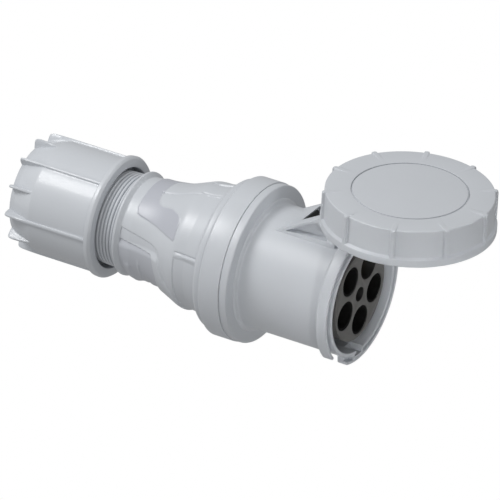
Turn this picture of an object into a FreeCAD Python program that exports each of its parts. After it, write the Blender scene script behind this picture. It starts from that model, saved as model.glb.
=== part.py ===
import FreeCAD, Part
import math
import os
import Sketcher

# Industrial power coupler: five poles and a pilot contact, a hinged lid with a bayonet ring, a cable gland.
# Millimetres. It stands on its gland nut's rear end: +Z runs along the connector, +Y points to the hinge.

# Driving sizes: millimetres, and degrees where the note says so. Each goes to the sheet under its name.
nut_length = 64.5  # gland nut, rear end to front lip
nut_radius = 37.6  # gland nut body
nut_bevel = 3.5  # height of the first cone at the nut's rear end
nut_cone_radius = 35.0  # end of that first cone
nut_cone_height = 13.0  # end of the second cone
nut_rear_radius = 31.0  # flat rear end the part stands on
nut_lip_radius = 39.9  # front lip of the nut
nut_lip_length = 9.5  # height of the lip with its rounding
nut_end_wall = 6.0  # wall at the cable entry
cable_entry_radius = 21.5  # opening for the cable
nut_rib_height = 1.3  # grip ribs over the nut's surface
nut_rib_width = 2.2  # grip ribs
thread_radius = 30.5  # crest of the neck's thread
thread_depth = 1.1  # neck core lies this much under the crest
thread_play = 0.4  # radial clearance of nut and crest
seat_gap = 0.3  # gap between pieces that rest on each other
clamp_radius = 27.0  # strain relief ring
clamp_height = 5.4  # strain relief ring
clamp_bore = 15.5  # strain relief ring, between its teeth
clamp_slot_width = 2.0  # slots between the teeth
seal_radius = 24.6  # cable seal
seal_bore = 14.0  # cable seal
seal_height = 22.0  # cable seal
seal_play = 0.4  # radial clearance of the seal in the neck
neck_rear = 24.0  # rear end of the threaded neck
neck_seat_depth = 20.0  # seat of the seal inside the neck
neck_bore = 21.0  # bore of the neck ahead of the seal
collar_rear = 73.5  # rear face of the grip's collar
collar_height = 14.5  # collar with its front fillet
collar_radius = 33.7  # collar behind the grip
waist_radius = 32.0  # grip at its waist
shoulder_radius = 41.5  # grip at its shoulder
wall = 3.0  # moulded wall of the grip
ring_rear = 143.5  # rear face of the wide ring
ring_height = 21.5  # wide ring up to the housing seam
ring_radius = 52.0  # wide ring
ring_lip_radius = 48.8  # rear lip of the wide ring
ring_lip_height = 6.0  # rear lip of the wide ring
panel_depth = 0.8  # flush panels at the sides of the grip
palm_depth = 0.6  # recess under the grip
finger_depth = 0.5  # second step of that recess
pad_shift = 2.5  # finger pad's axis below the connector's axis
grip_ridge_width = 2.0  # short ridges behind the wide ring
flange_radius = 51.4  # front shell's flange
flange_height = 5.3  # front shell's flange, seam to face
seam_half_gap = 0.5  # half the seam between grip and front shell
step_radius = 45.2  # step in front of the flange
step_height = 2.4  # step in front of the flange
shell_radius = 40.5  # front shell's tube
shell_height = 68.9  # flange face to the mouth's edge
mouth_wall = 2.5  # tube's wall at the mouth
bead_radius = 46.0  # bayonet rim
bead_height = 6.6  # bayonet rim, full section
bead_gap_angle = 29.0  # entry gap of the bayonet rim in degrees
bead_turn = 162.0  # start of the bayonet rim from the hinge side in degrees
bead_groove_depth = 4.0  # groove in the rim's front
rim_wall = 2.0  # outer wall of the rim
key_width = 8.4  # keyway
key_depth = 4.4  # keyway, into the mouth's wall
spigot_radius = 47.0  # shell's spigot inside the wide ring
spigot_height = 15.0  # shell's spigot
spigot_play = 0.4  # radial clearance of the spigot
spigot_wall = 3.0  # wall of the spigot
mouth_depth = 49.0  # mouth's edge to the ledge behind the plug's shroud
ledge_height = 4.0  # ledge that carries the insert
insert_radius = 31.0  # contact insert
insert_play = 0.4  # radial clearance of the insert in the ledge
insert_set_back = 2.2  # insert's face behind the mouth's edge
chamber_wall = 2.3  # tube's wall around the contact carrier
carrier_play = 0.6  # radial clearance of the contact carrier in the tube
carrier_height = 15.0  # rear plate that holds the contacts and the insert
pole_radius = 19.25  # circle of the five poles
pole_turn = 30.0  # earth contact from the hinge side in degrees
hole_radius = 9.6  # holes for the pins
pilot_hole_radius = 4.8  # hole for the pilot pin
guard_wall = 1.4  # finger guard
guard_height = 30.0  # finger guard
fit_play = 0.15  # radial clearance of pieces pressed in the insert
pin_radius = 4.0  # live pins of the mating plug
earth_pin_radius = 5.0  # earth pin of the mating plug
pilot_pin_radius = 3.0  # pilot pin of the mating plug
pin_play = 0.05  # radial clearance of a pin in its sleeve
sleeve_wall = 2.6  # wall of a contact sleeve
sleeve_set_back = 15.0  # live sleeves behind the insert's face
earth_lead = 6.0  # earth sleeve ahead of the live ones
post_radius = 5.5  # terminal post of a contact
post_height = 28.0  # terminal post of a contact
screw_radius = 2.0  # terminal screw
screw_height = 3.0  # terminal screw, out of its post
screw_drop = 8.0  # terminal screw behind the contact carrier
screw_play = 0.05  # gap between a terminal screw and its post
hinge_y = 49.2  # hinge axis from the connector's axis
hinge_drop = 20.7  # hinge axis behind the mouth's edge
hinge_pin_radius = 1.9  # hinge pin
hinge_play = 0.06  # radial clearance of the hinge pin
hinge_eye_radius = 4.5  # lid's eyes and the ends of the hinge plates
hinge_plate_inner = 9.0  # inner side of the hinge plates
hinge_plate_width = 8.7  # hinge plates
hinge_ramp_length = 38.8  # start of the hinge block's ramp behind the hinge axis
hinge_slot_length = 20.3  # slot for the lid's arm behind the hinge axis
stop_height = 2.0  # rubber stop in that slot
arm_half_width = 8.5  # lid's arm between the hinge plates
lid_rise = 13.0  # lid's top over the mouth's edge when shut
lid_radius = 52.4  # side of the bayonet ring
lid_lip_radius = 55.0  # lip and ribs of the bayonet ring
lid_height = 23.7  # bayonet ring
lid_lip_height = 4.8  # lip of the bayonet ring
lid_slope = 1.4  # fall of the ring's top towards its edge
lid_wall = 2.4  # wall of the bayonet ring
lid_rib_width = 3.8  # ribs of the bayonet ring
disc_radius = 36.0  # middle of the lid
disc_gap = 0.5  # groove between the lid's middle and its ring
cap_skirt_height = 7.8  # skirt the ring turns on
cap_wall = 2.2  # skirt and plate of the lid
ring_play = 0.6  # radial clearance of ring and skirt
lug_inner_radius = 42.8  # bayonet lugs inside the ring
lug_height = 1.9  # bayonet lugs
lug_half_angle = 8.0  # bayonet lugs in degrees
gasket_height = 1.25  # lid's gasket
SIZES = {name: value for name, value in globals().items() if isinstance(value, float)}

DOC = FreeCAD.newDocument("coupler")
SHEET = DOC.addObject("Spreadsheet::Sheet", "dims")


class Size:
    """A length that is both a number and the sheet expression that drives it."""

    def __init__(self, text, value):
        self.text = text
        self.value = value

    def join(self, sign, other, value):
        return Size("(%s %s %s)" % (self.text, sign, other.text), value)

    def __add__(self, other):
        other = size(other)
        return self.join("+", other, self.value + other.value)

    def __sub__(self, other):
        other = size(other)
        return self.join("-", other, self.value - other.value)

    def __mul__(self, other):
        other = size(other)
        return self.join("*", other, self.value * other.value)

    def __truediv__(self, other):
        other = size(other)
        return self.join("/", other, self.value / other.value)

    def __radd__(self, other):
        return size(other) + self

    def __rsub__(self, other):
        return size(other) - self

    def __rmul__(self, other):
        return size(other) * self

    def __neg__(self):
        return Size("(-%s)" % self.text, -self.value)


def size(value):
    """Give a plain number as a size."""
    if isinstance(value, Size):
        return value
    return Size("%.6g" % value, float(value))


class Sizes:
    """Writes the driving sizes to the sheet and hands them out by name."""

    def __init__(self, values):
        for row, (name, value) in enumerate(values.items(), start=1):
            SHEET.set("A%d" % row, name)
            SHEET.set("B%d" % row, "%g" % value)
            SHEET.setAlias("B%d" % row, name)
            setattr(self, name, Size("dims." + name, value))


S = Sizes(SIZES)

# Levels along the connector.
SEAM = S.ring_rear + S.ring_height
SHELL_FACE = SEAM + S.flange_height
MOUTH = SHELL_FACE + S.shell_height
FACE = MOUTH - S.insert_set_back
LEDGE = MOUTH - S.mouth_depth
INSERT_REAR = LEDGE - S.ledge_height
HINGE_Z = MOUTH - S.hinge_drop
# The lid is drawn shut and level, its top at zero, and its placement stands it open behind the mouth.
LID_TOP = MOUTH + S.lid_rise
MOUTH_RADIUS = S.shell_radius - S.mouth_wall
CHAMBER_RADIUS = S.shell_radius - S.chamber_wall


def plane(body, role):
    """Find one of a body's own origin planes or axes."""
    return [f for f in body.Origin.OriginFeatures if f.Role == role][0]


def new_body(label):
    body = DOC.addObject("PartDesign::Body", label)
    body.Label = label
    return body


def sketch(body, name, role, turn=0.0, level=None):
    """Start a sketch on an origin plane, turned about the connector's axis or lifted to a level."""
    sk = body.newObject("Sketcher::SketchObject", name)
    sk.AttachmentSupport = (plane(body, role), [""])
    sk.MapMode = "FlatFace"
    if role != "XY_Plane" and turn:
        rotation = FreeCAD.Rotation(FreeCAD.Vector(0, 1, 0), turn)
        sk.AttachmentOffset = FreeCAD.Placement(FreeCAD.Vector(), rotation)
    if level is not None:
        sk.setExpression("AttachmentOffset.Base.z", size(level).text)
    return sk


def place_point(sk, marks, geo, pos, u, v):
    """Tie a sketch point to two sizes measured from the sketch's origin."""
    for kind, axis, value in (("DistanceX", -2, u), ("DistanceY", -1, v)):
        if abs(value.value) < 1e-9:
            sk.addConstraint(Sketcher.Constraint("PointOnObject", geo, pos, axis))
        else:
            number = sk.addConstraint(Sketcher.Constraint(kind, -1, 1, geo, pos, value.value))
            marks.append((number, value.text))


def polygon(sk, points):
    """Draw a closed outline whose corners are tied to sizes."""
    corners = [(size(u), size(v)) for u, v in points]
    count = len(corners)
    lines = []
    for i in range(count):
        a = corners[i]
        b = corners[(i + 1) % count]
        start = FreeCAD.Vector(a[0].value, a[1].value, 0)
        end = FreeCAD.Vector(b[0].value, b[1].value, 0)
        lines.append(Part.LineSegment(start, end))
    first = sk.addGeometry(lines, False)[0]
    for i in range(count):
        sk.addConstraint(Sketcher.Constraint("Coincident", first + i, 2, first + (i + 1) % count, 1))
    marks = []
    for i, (u, v) in enumerate(corners):
        place_point(sk, marks, first + i, 1, u, v)
    for number, text in marks:
        sk.setExpression("Constraints[%d]" % number, text)


def circle(sk, u, v, radius):
    """Draw a circle tied to its centre and radius."""
    u, v, radius = size(u), size(v), size(radius)
    centre = FreeCAD.Vector(u.value, v.value, 0)
    geo = sk.addGeometry(Part.Circle(centre, FreeCAD.Vector(0, 0, 1), radius.value), False)
    marks = []
    place_point(sk, marks, geo, 3, u, v)
    marks.append((sk.addConstraint(Sketcher.Constraint("Radius", geo, radius.value)), radius.text))
    for number, text in marks:
        sk.setExpression("Constraints[%d]" % number, text)


def turned(body, name, points, turn=0.0, angle=None, cut=False):
    """Revolve an outline of (radius, height) corners about the body's axis."""
    sk = sketch(body, name + "_outline", "XZ_Plane", turn)
    polygon(sk, points)
    feature = body.newObject("PartDesign::Groove" if cut else "PartDesign::Revolution", name)
    feature.Profile = sk
    feature.ReferenceAxis = (sk, ["V_Axis"])
    feature.Angle = 360.0
    if angle is not None:
        feature.setExpression("Angle", size(angle).text)
    sk.Visibility = False
    return feature


def rib(body, name, points, width, turn=0.0, role="XZ_Plane", cut=False, shape=polygon):
    """Pad or cut an outline evenly to both sides of its plane."""
    sk = sketch(body, name + "_outline", role, turn)
    shape(sk, points)
    feature = body.newObject("PartDesign::Pocket" if cut else "PartDesign::Pad", name)
    feature.Profile = sk
    if hasattr(feature, "SideType"):
        feature.SideType = "Symmetric"
    else:
        feature.Midplane = True
    feature.setExpression("Length", size(width).text)
    sk.Visibility = False
    return feature


def holes(body, name, circles, level, depth, cut=True):
    """Sink round holes downwards from a level, or pad them upwards."""
    sk = sketch(body, name + "_outline", "XY_Plane", level=level)
    for u, v, radius in circles:
        circle(sk, u, v, radius)
    feature = body.newObject("PartDesign::Pocket" if cut else "PartDesign::Pad", name)
    feature.Profile = sk
    feature.setExpression("Length", size(depth).text)
    sk.Visibility = False
    return feature


def around(body, name, features, count):
    """Repeat features evenly about the body's axis."""
    DOC.recompute()
    pattern = body.newObject("PartDesign::PolarPattern", name)
    pattern.Originals = features
    pattern.Axis = (plane(body, "Z_Axis"), [""])
    pattern.Angle = 360.0
    pattern.Occurrences = count
    body.Tip = pattern
    return pattern


def cylinder(name, radius, height, x=0.0, y=0.0, z=0.0):
    """Add an upright cylinder whose sizes and place follow the sheet."""
    shape = DOC.addObject("Part::Cylinder", name)
    shape.setExpression("Radius", size(radius).text)
    shape.setExpression("Height", size(height).text)
    for axis, value in (("x", x), ("y", y), ("z", z)):
        shape.setExpression("Placement.Base." + axis, size(value).text)
    return shape


def cut(name, base, tool):
    result = DOC.addObject("Part::Cut", name)
    result.Base = base
    result.Tool = tool
    return result


def common(name, base, tool):
    result = DOC.addObject("Part::Common", name)
    result.Base = base
    result.Tool = tool
    return result


def joined(name, shapes, kind="Part::MultiFuse"):
    result = DOC.addObject(kind, name)
    if kind == "Part::Compound":
        result.Links = shapes
    else:
        result.Shapes = shapes
    return result


def pole(index, radius=None):
    """Place of a pole: the earth contact first, then every 72 degrees towards -X."""
    turn = "(dims.pole_turn - 72 * %d) * 1 deg" % index
    angle = math.radians(S.pole_turn.value - 72.0 * index)
    r = size(radius) if radius is not None else S.pole_radius
    x = Size("(%s * sin(%s))" % (r.text, turn), r.value * math.sin(angle))
    y = Size("(%s * cos(%s))" % (r.text, turn), r.value * math.cos(angle))
    return x, y


# Gland nut.
def build_nut():
    nut = new_body("gland_nut")
    bore = S.thread_radius + S.thread_play
    lip = S.nut_length - S.nut_lip_length
    nest = S.clamp_radius + S.seat_gap
    turned(nut, "nut_core", [
        (S.cable_entry_radius, 0), (S.nut_rear_radius, 0), (S.nut_cone_radius, S.nut_bevel),
        (S.nut_radius, S.nut_cone_height), (S.nut_radius, lip), (S.nut_lip_radius, lip + 1.6),
        (S.nut_lip_radius, lip + 5.4), (S.nut_lip_radius - 1.8, lip + 8.2),
        (S.nut_lip_radius - 5.4, S.nut_length), (bore + 2.2, S.nut_length),
        (bore + 2.2, S.nut_length - 8.0), (bore, S.nut_length - 8.0), (bore, S.nut_end_wall + 7.5),
        (nest, S.nut_end_wall + 7.5), (nest, S.nut_end_wall), (S.cable_entry_radius, S.nut_end_wall),
    ])
    crest = S.nut_radius + S.nut_rib_height
    inside = S.nut_radius - 2.0
    rear = [
        (S.nut_rear_radius - 0.6, 1.2), (S.nut_rear_radius, 0), (S.nut_cone_radius - 0.6, 0),
        (S.nut_radius, S.nut_bevel - 1.1), (crest, S.nut_bevel + 3.0),
    ]
    long_rib = rib(nut, "long_rib", rear + [
        (crest, lip + 1.6), (inside, lip + 1.6), (inside, S.nut_cone_height),
    ], S.nut_rib_width, turn=2.0)
    around(nut, "long_ribs", [long_rib], 6)
    short_rib = rib(nut, "short_rib", rear + [
        (S.nut_radius - 0.6, S.nut_cone_height + 2.0), (inside, S.nut_cone_height),
    ], S.nut_rib_width, turn=32.0)
    around(nut, "short_ribs", [short_rib], 6)
    return nut


# Strain relief ring and cable seal, which ride on the nut's end wall.
def build_gland():
    clamp = new_body("clamp_ring")
    foot = S.nut_end_wall + S.seat_gap
    top = foot + S.clamp_height
    turned(clamp, "clamp_core", [
        (S.clamp_bore, foot), (S.clamp_radius, foot), (S.clamp_radius, top), (S.clamp_bore, top),
    ])
    reach = S.cable_entry_radius - 0.4
    slot = rib(clamp, "clamp_slot", [
        (S.clamp_bore - 4.0, foot - 1.0), (reach, foot - 1.0),
        (reach, top + 1.0), (S.clamp_bore - 4.0, top + 1.0),
    ], S.clamp_slot_width, turn=15.0, cut=True)
    around(clamp, "clamp_slots", [slot], 8)
    seal = new_body("cable_seal")
    base = top + S.seat_gap
    turned(seal, "seal_core", [
        (S.seal_bore, base), (S.seal_radius, base), (S.seal_radius, base + S.seal_height),
        (S.seal_bore, base + S.seal_height),
    ])
    return clamp, seal


def grip_line(out):
    """The grip's side from its waist to its shoulder, shifted outwards by a size."""
    low = S.collar_rear + S.collar_height
    high = S.ring_rear - 10.5
    line = []
    for along, across in ((0.0, 0.0), (0.42, 0.27), (0.64, 0.65), (0.80, 0.93), (1.0, 1.0)):
        z = low + (high - low) * along
        r = S.waist_radius + (S.shoulder_radius - S.waist_radius) * across
        line.append((r + out, z))
    return line


def side_outline(name, points):
    """A block right through the grip with the outline of (Y, Z) corners, for the recesses of both sides."""
    body = new_body(name)
    rib(body, name + "_pad", points, S.ring_radius * 3.0, role="YZ_Plane")
    return body


def skin(name, depth):
    """A shell over the grip's side that reaches inwards by a depth."""
    body = new_body(name)
    line = grip_line(-depth)
    rear = line[0][1] - 1.5
    top = line[-1][1]
    far = S.ring_radius + 10.0
    turned(body, name + "_turned", [(far, rear), (line[0][0], rear)] + line + [(far, top)])
    return body


# Grip housing: threaded neck, collar, waisted grip and the wide ring's rear part.
def build_grip():
    core = new_body("grip_core")
    neck = S.thread_radius - S.thread_depth
    rear = S.collar_rear
    low = rear + S.collar_height
    seat = S.seal_radius + S.seal_play
    seat_top = S.neck_rear + S.neck_seat_depth
    cup = S.spigot_radius + S.spigot_play
    lip = S.ring_rear + S.ring_lip_height
    front = SEAM - S.seam_half_gap
    turned(core, "grip_turned", [
        (0, S.neck_rear), (neck, S.neck_rear), (neck, rear), (S.collar_radius - 1.6, rear + 0.6),
        (S.collar_radius, rear + 3.2), (S.collar_radius, rear + 9.0), (S.waist_radius + 0.4, rear + 12.4),
    ] + grip_line(0.0) + [
        (S.shoulder_radius + 2.2, S.ring_rear), (S.ring_lip_radius - 1.0, S.ring_rear),
        (S.ring_lip_radius, S.ring_rear + 1.4), (S.ring_lip_radius, lip), (S.ring_radius - 1.2, lip),
        (S.ring_radius, lip + 1.4), (S.ring_radius, front), (0, front),
    ])
    ridge = [
        (S.shoulder_radius - 2.0, S.ring_rear - 17.0), (S.shoulder_radius - 0.4, S.ring_rear - 17.0),
        (S.shoulder_radius + 2.2, S.ring_rear - 2.0), (S.shoulder_radius + 3.2, S.ring_rear + 1.0),
        (S.shoulder_radius - 2.0, S.ring_rear + 1.0),
    ]
    for name, turn in (("a", 13.0), ("b", 75.0), ("c", -13.0), ("d", -75.0)):
        rib(core, "grip_ridge_" + name, ridge, S.grip_ridge_width, turn=90.0 + turn)
    # Side panels, the palm's recess in two steps and the finger pad under the grip.
    w = S.waist_radius
    below = -S.ring_radius - 8.0
    panel = side_outline("panel_block", [
        (w + 8.0, low + 0.6), (w - 7.4, low), (w - 11.3, low + 4.0), (w - 13.3, low + 21.0),
        (w - 14.0, low + 34.0), (w - 2.9, low + 34.5), (w - 1.6, low + 30.5), (w - 1.6, low + 24.8),
        (w - 3.6, low + 15.2), (w - 3.0, low + 12.8), (w - 1.0, low + 10.2), (w + 8.0, low + 10.2),
    ])
    palm = side_outline("palm_block", [
        (w - 21.0, low + 0.3), (w - 23.9, low + 18.0), (w - 25.4, low + 22.0), (w - 44.1, low + 28.8),
        (w - 58.3, low + 37.5), (below, low + 42.0), (below, low + 0.3),
    ])
    finger = side_outline("finger_block", [
        (w - 28.2, low + 1.0), (w - 30.2, low + 17.5), (w - 33.2, low + 19.2), (w - 44.4, low + 21.5),
        (below, low + 20.0), (below, low + 1.0),
    ])
    tools = [
        common("panel_cut", skin("panel_skin", S.panel_depth), panel),
        common("palm_cut", skin("palm_skin", S.palm_depth), palm),
        common("finger_cut", skin("finger_skin", S.palm_depth + S.finger_depth), finger),
    ]
    recessed = cut("grip_recessed", core, joined("grip_tools", tools))
    pad = new_body("finger_pad")
    turned(pad, "finger_pad_turned", [
        (0, low - 4.4), (w - 0.6, low - 4.4), (w + 0.3, low - 0.4), (w - 0.6, low + 2.2),
        (w - 0.8, low + 4.8), (w - 1.6, low + 7.2), (w + 0.1, low + 12.5), (w + 0.3, low + 16.5),
        (w + 0.2, low + 19.0), (w + 4.1, low + 26.0), (w + 5.2, low + 32.0), (0, low + 32.0),
    ])
    pad.setExpression("Placement.Base.y", (-S.pad_shift).text)
    # The seal's seat, the wiring space and the cup for the front shell's spigot.
    space = new_body("grip_space")
    bottom = SEAM - S.spigot_height - S.seat_gap
    room = S.shoulder_radius - S.wall
    waist = S.waist_radius - S.wall
    turned(space, "grip_space_turned", [
        (0, S.neck_rear - 1.0), (seat, S.neck_rear - 1.0), (seat, seat_top), (S.neck_bore, seat_top),
        (S.neck_bore, low + 1.0), (waist, low + 1.0), (waist, S.ring_rear - 14.0), (room, S.ring_rear - 14.0),
        (room, bottom), (cup, bottom), (cup, front + 1.0), (0, front + 1.0),
    ])
    grip = cut("grip_housing", joined("grip_solid", [recessed, pad]), space)
    grip.Label = "grip_housing"
    return grip


# Front shell: flange, tube, mouth with keyway, bayonet rim and hinge plates.
def build_shell():
    shell = new_body("front_shell")
    rear = SEAM - S.spigot_height
    step = SHELL_FACE + S.step_height
    bore = S.insert_radius + S.insert_play
    chamber = CHAMBER_RADIUS
    back = SEAM + S.seam_half_gap
    throat = S.spigot_radius - S.spigot_wall
    turned(shell, "shell_turned", [
        (throat, rear), (S.spigot_radius, rear), (S.spigot_radius, back), (S.flange_radius, back),
        (S.flange_radius, SHELL_FACE - 0.8), (S.flange_radius - 0.8, SHELL_FACE), (S.step_radius, SHELL_FACE),
        (S.step_radius, step), (S.shell_radius + 1.4, step + 1.0), (S.shell_radius, step + 4.6),
        (S.shell_radius, MOUTH - 1.2), (S.shell_radius - 0.8, MOUTH), (MOUTH_RADIUS, MOUTH),
        (MOUTH_RADIUS, LEDGE), (bore, LEDGE), (bore, LEDGE - S.ledge_height),
        (chamber, LEDGE - S.ledge_height), (chamber, SHELL_FACE - 3.0), (throat, SHELL_FACE - 3.0),
    ])
    # The bayonet rim in two segments with a groove in their front and entry gaps between them.
    low = MOUTH - 1.0 - S.bead_height
    groove = MOUTH - S.bead_groove_depth
    segment = turned(shell, "bead", [
        (S.shell_radius - 1.0, low - 3.0), (S.shell_radius, low - 3.0), (S.shell_radius + 1.4, low - 1.0),
        (S.bead_radius, low), (S.bead_radius, MOUTH - 0.4), (S.bead_radius - S.rim_wall, MOUTH - 0.4),
        (S.bead_radius - S.rim_wall, groove), (S.shell_radius - 1.0, groove),
    ], turn=90.0 + S.bead_turn.value, angle=180.0 - S.bead_gap_angle)
    around(shell, "beads", [segment], 2)
    # A block backs the keyway, which breaks through the tube's wall.
    mouth = -MOUTH_RADIUS
    rib(shell, "key_block", [
        (mouth - 1.0, MOUTH - 13.0), (-S.bead_radius + 1.2, MOUTH - 9.0), (-S.bead_radius + 0.3, MOUTH - 0.8),
        (mouth - 1.0, MOUTH - 0.8),
    ], S.key_width + 5.0, role="YZ_Plane")
    rib(shell, "keyway", [
        (mouth + 3.0, LEDGE + 4.0), (mouth - 1.2, LEDGE + 4.0), (mouth - 1.2, MOUTH - 10.0),
        (mouth - S.key_depth, MOUTH - 8.0), (mouth - S.key_depth, MOUTH + 1.0), (mouth + 3.0, MOUTH + 1.0),
    ], S.key_width, role="YZ_Plane", cut=True)
    # Hinge block with a ramp towards the flange, slotted for the lid's arm.
    e = S.hinge_eye_radius
    root = S.shell_radius - 6.5
    rib(shell, "hinge_block", [
        (root, HINGE_Z - S.hinge_ramp_length), (S.hinge_y + e * 1.13, HINGE_Z - e * 0.78),
        (S.hinge_y + e * 1.24, HINGE_Z - e * 0.3), (S.hinge_y + e * 1.05, HINGE_Z + e * 0.4),
        (S.hinge_y + e * 0.5, HINGE_Z + e * 0.9), (S.hinge_y - e, HINGE_Z + e),
        (S.shell_radius, HINGE_Z + 8.0), (root, HINGE_Z + 8.0),
    ], (S.hinge_plate_inner + S.hinge_plate_width) * 2.0, role="YZ_Plane")
    turned(shell, "hinge_inside", [
        (0, SHELL_FACE - 2.0), (chamber, SHELL_FACE - 2.0), (chamber, LEDGE - S.ledge_height),
        (bore, LEDGE - S.ledge_height), (bore, LEDGE), (MOUTH_RADIUS, LEDGE), (MOUTH_RADIUS, MOUTH - 1.0),
        (0, MOUTH - 1.0),
    ], cut=True)
    bed = S.shell_radius - 0.2
    reach = S.hinge_y + e * 2.0
    slot = HINGE_Z - S.hinge_slot_length
    rib(shell, "hinge_slot", [
        (bed, slot), (reach, slot), (reach, HINGE_Z + 9.0), (bed, HINGE_Z + 9.0),
    ], S.hinge_plate_inner * 2.0, role="YZ_Plane", cut=True)
    bore_hole = [(S.hinge_y, HINGE_Z, S.hinge_pin_radius + S.hinge_play)]
    across = (S.hinge_plate_inner + S.hinge_plate_width) * 3.0
    rib(shell, "hinge_bore", bore_hole, across, role="YZ_Plane", cut=True, shape=rounds)
    return shell


def rounds(sk, circles):
    for u, v, radius in circles:
        circle(sk, u, v, radius)


# Rubber stop that lines the end of the slot in the hinge block.
def build_stop():
    stop = new_body("lid_stop")
    low = S.shell_radius + 0.1
    rear = HINGE_Z - S.hinge_slot_length + 0.3
    rib(stop, "stop_pad", [
        (low, rear), (low + 3.6, rear), (low + 3.6, rear + 1.0), (low + S.stop_height, rear + 2.6),
        (low + S.stop_height, rear + 13.5), (low, rear + 13.5),
    ], S.hinge_plate_inner * 2.0 - 0.6, role="YZ_Plane")
    return stop


# Flat seal in the seam between grip and front shell.
def build_housing_seal():
    seal = new_body("housing_seal")
    half = S.seam_half_gap - 0.05
    inner = S.spigot_radius + S.spigot_play
    outer = S.flange_radius - 1.0
    turned(seal, "housing_seal_turned", [
        (inner, SEAM - half), (outer, SEAM - half), (outer, SEAM + half), (inner, SEAM + half),
    ])
    return seal


# Insert with the pin holes, and the plate that holds the contacts in it from behind.
def build_insert():
    insert = new_body("contact_insert")
    turned(insert, "insert_turned", [
        (0, INSERT_REAR), (S.insert_radius, INSERT_REAR), (S.insert_radius, FACE), (0, FACE),
    ])
    spots = [pole(i) for i in range(5)]
    depth = FACE - INSERT_REAR + 2.0
    holes(insert, "pin_holes", [(x, y, S.hole_radius) for x, y in spots], FACE + 1.0, depth)
    holes(insert, "pilot_hole", [(0, 0, S.pilot_hole_radius)], FACE + 1.0, depth)
    carrier = new_body("contact_carrier")
    high = INSERT_REAR - S.seat_gap
    low = high - S.carrier_height
    outer = CHAMBER_RADIUS - S.carrier_play
    turned(carrier, "carrier_turned", [(0, low), (outer, low), (outer, high), (0, high)])
    posts = [(x, y, S.post_radius + S.fit_play) for x, y in spots]
    holes(carrier, "post_holes", posts, high + 1.0, S.carrier_height + 2.0)
    pilot = [(0, 0, S.pilot_pin_radius + S.fit_play)]
    holes(carrier, "pilot_post_hole", pilot, high + 1.0, S.carrier_height + 2.0)
    return insert, carrier, low


def contact(label, place, bore, outer, front, post):
    """One contact: a slotted sleeve that stands on the carrier plate and a terminal post through it."""
    body = new_body(label)
    foot = INSERT_REAR + 0.1
    turned(body, label + "_turned", [
        (0, foot + 12.0), (bore, foot + 12.0), (bore, front), (outer, front), (outer, foot), (post, foot),
        (post, foot - S.post_height), (0, foot - S.post_height),
    ])
    rib(body, label + "_slot", [
        (-outer - 1.0, foot + 16.0), (outer + 1.0, foot + 16.0),
        (outer + 1.0, front + 1.0), (-outer - 1.0, front + 1.0),
    ], 1.2, cut=True)
    body.setExpression("Placement.Base.x", size(place[0]).text)
    body.setExpression("Placement.Base.y", size(place[1]).text)
    return body


def build_contacts(carrier_low):
    pieces = []
    live = S.pin_radius + S.pin_play
    earth = S.earth_pin_radius + S.pin_play
    pilot = S.pilot_pin_radius + S.pin_play
    front = FACE - S.sleeve_set_back
    lead = front + S.earth_lead
    pieces.append(contact("contact_earth", pole(0), earth, earth + S.sleeve_wall, lead, S.post_radius))
    for index, name in enumerate(("contact_l1", "contact_l2", "contact_l3", "contact_n"), start=1):
        pieces.append(contact(name, pole(index), live, live + S.sleeve_wall, front, S.post_radius))
    pilot_outer = S.pilot_hole_radius - S.fit_play
    pieces.append(contact("contact_pilot", (0, 0), pilot, pilot_outer, front - 6.0, S.pilot_pin_radius))
    outer = S.hole_radius - S.fit_play
    inner = outer - S.guard_wall
    foot = FACE - 0.6 - S.guard_height
    sleeves = []
    for index in range(1, 5):
        x, y = pole(index)
        tube = cylinder("guard_outer_%d" % index, outer, S.guard_height, x, y, foot)
        inside = cylinder("guard_inner_%d" % index, inner, S.guard_height + 2.0, x, y, foot - 1.0)
        sleeves.append(cut("guard_%d" % index, tube, inside))
    guards = joined("finger_guards", sleeves, "Part::Compound")
    guards.Label = "finger_guards"
    pieces.append(guards)
    # Terminal screws, one across each live and earth post, sunk from the outside.
    screws = []
    for index in range(5):
        turn = math.radians(S.pole_turn.value - 72.0 * index)
        outwards = FreeCAD.Vector(math.sin(turn), math.cos(turn), 0)
        screw = DOC.addObject("Part::Cylinder", "terminal_screw_%d" % index)
        screw.setExpression("Radius", S.screw_radius.text)
        screw.setExpression("Height", S.screw_height.text)
        reach = S.pole_radius + S.post_radius + S.screw_play
        sx, sy = pole(index, reach)
        screw.Placement.Rotation = FreeCAD.Rotation(FreeCAD.Vector(0, 0, 1), outwards)
        screw.setExpression("Placement.Base.x", sx.text)
        screw.setExpression("Placement.Base.y", sy.text)
        screw.setExpression("Placement.Base.z", (carrier_low - S.screw_drop).text)
        screws.append(screw)
    return pieces, screws


# Lid: the middle disc with its skirt and arm, the gasket and the bayonet ring around it.
def stand_open(body):
    """Place a piece drawn shut so that it stands open behind the mouth."""
    body.Placement.Rotation = FreeCAD.Rotation(FreeCAD.Vector(1, 0, 0), -90.0)
    body.setExpression("Placement.Base.y", (S.hinge_y + LID_TOP - HINGE_Z).text)
    body.setExpression("Placement.Base.z", (HINGE_Z + S.hinge_y).text)


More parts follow.
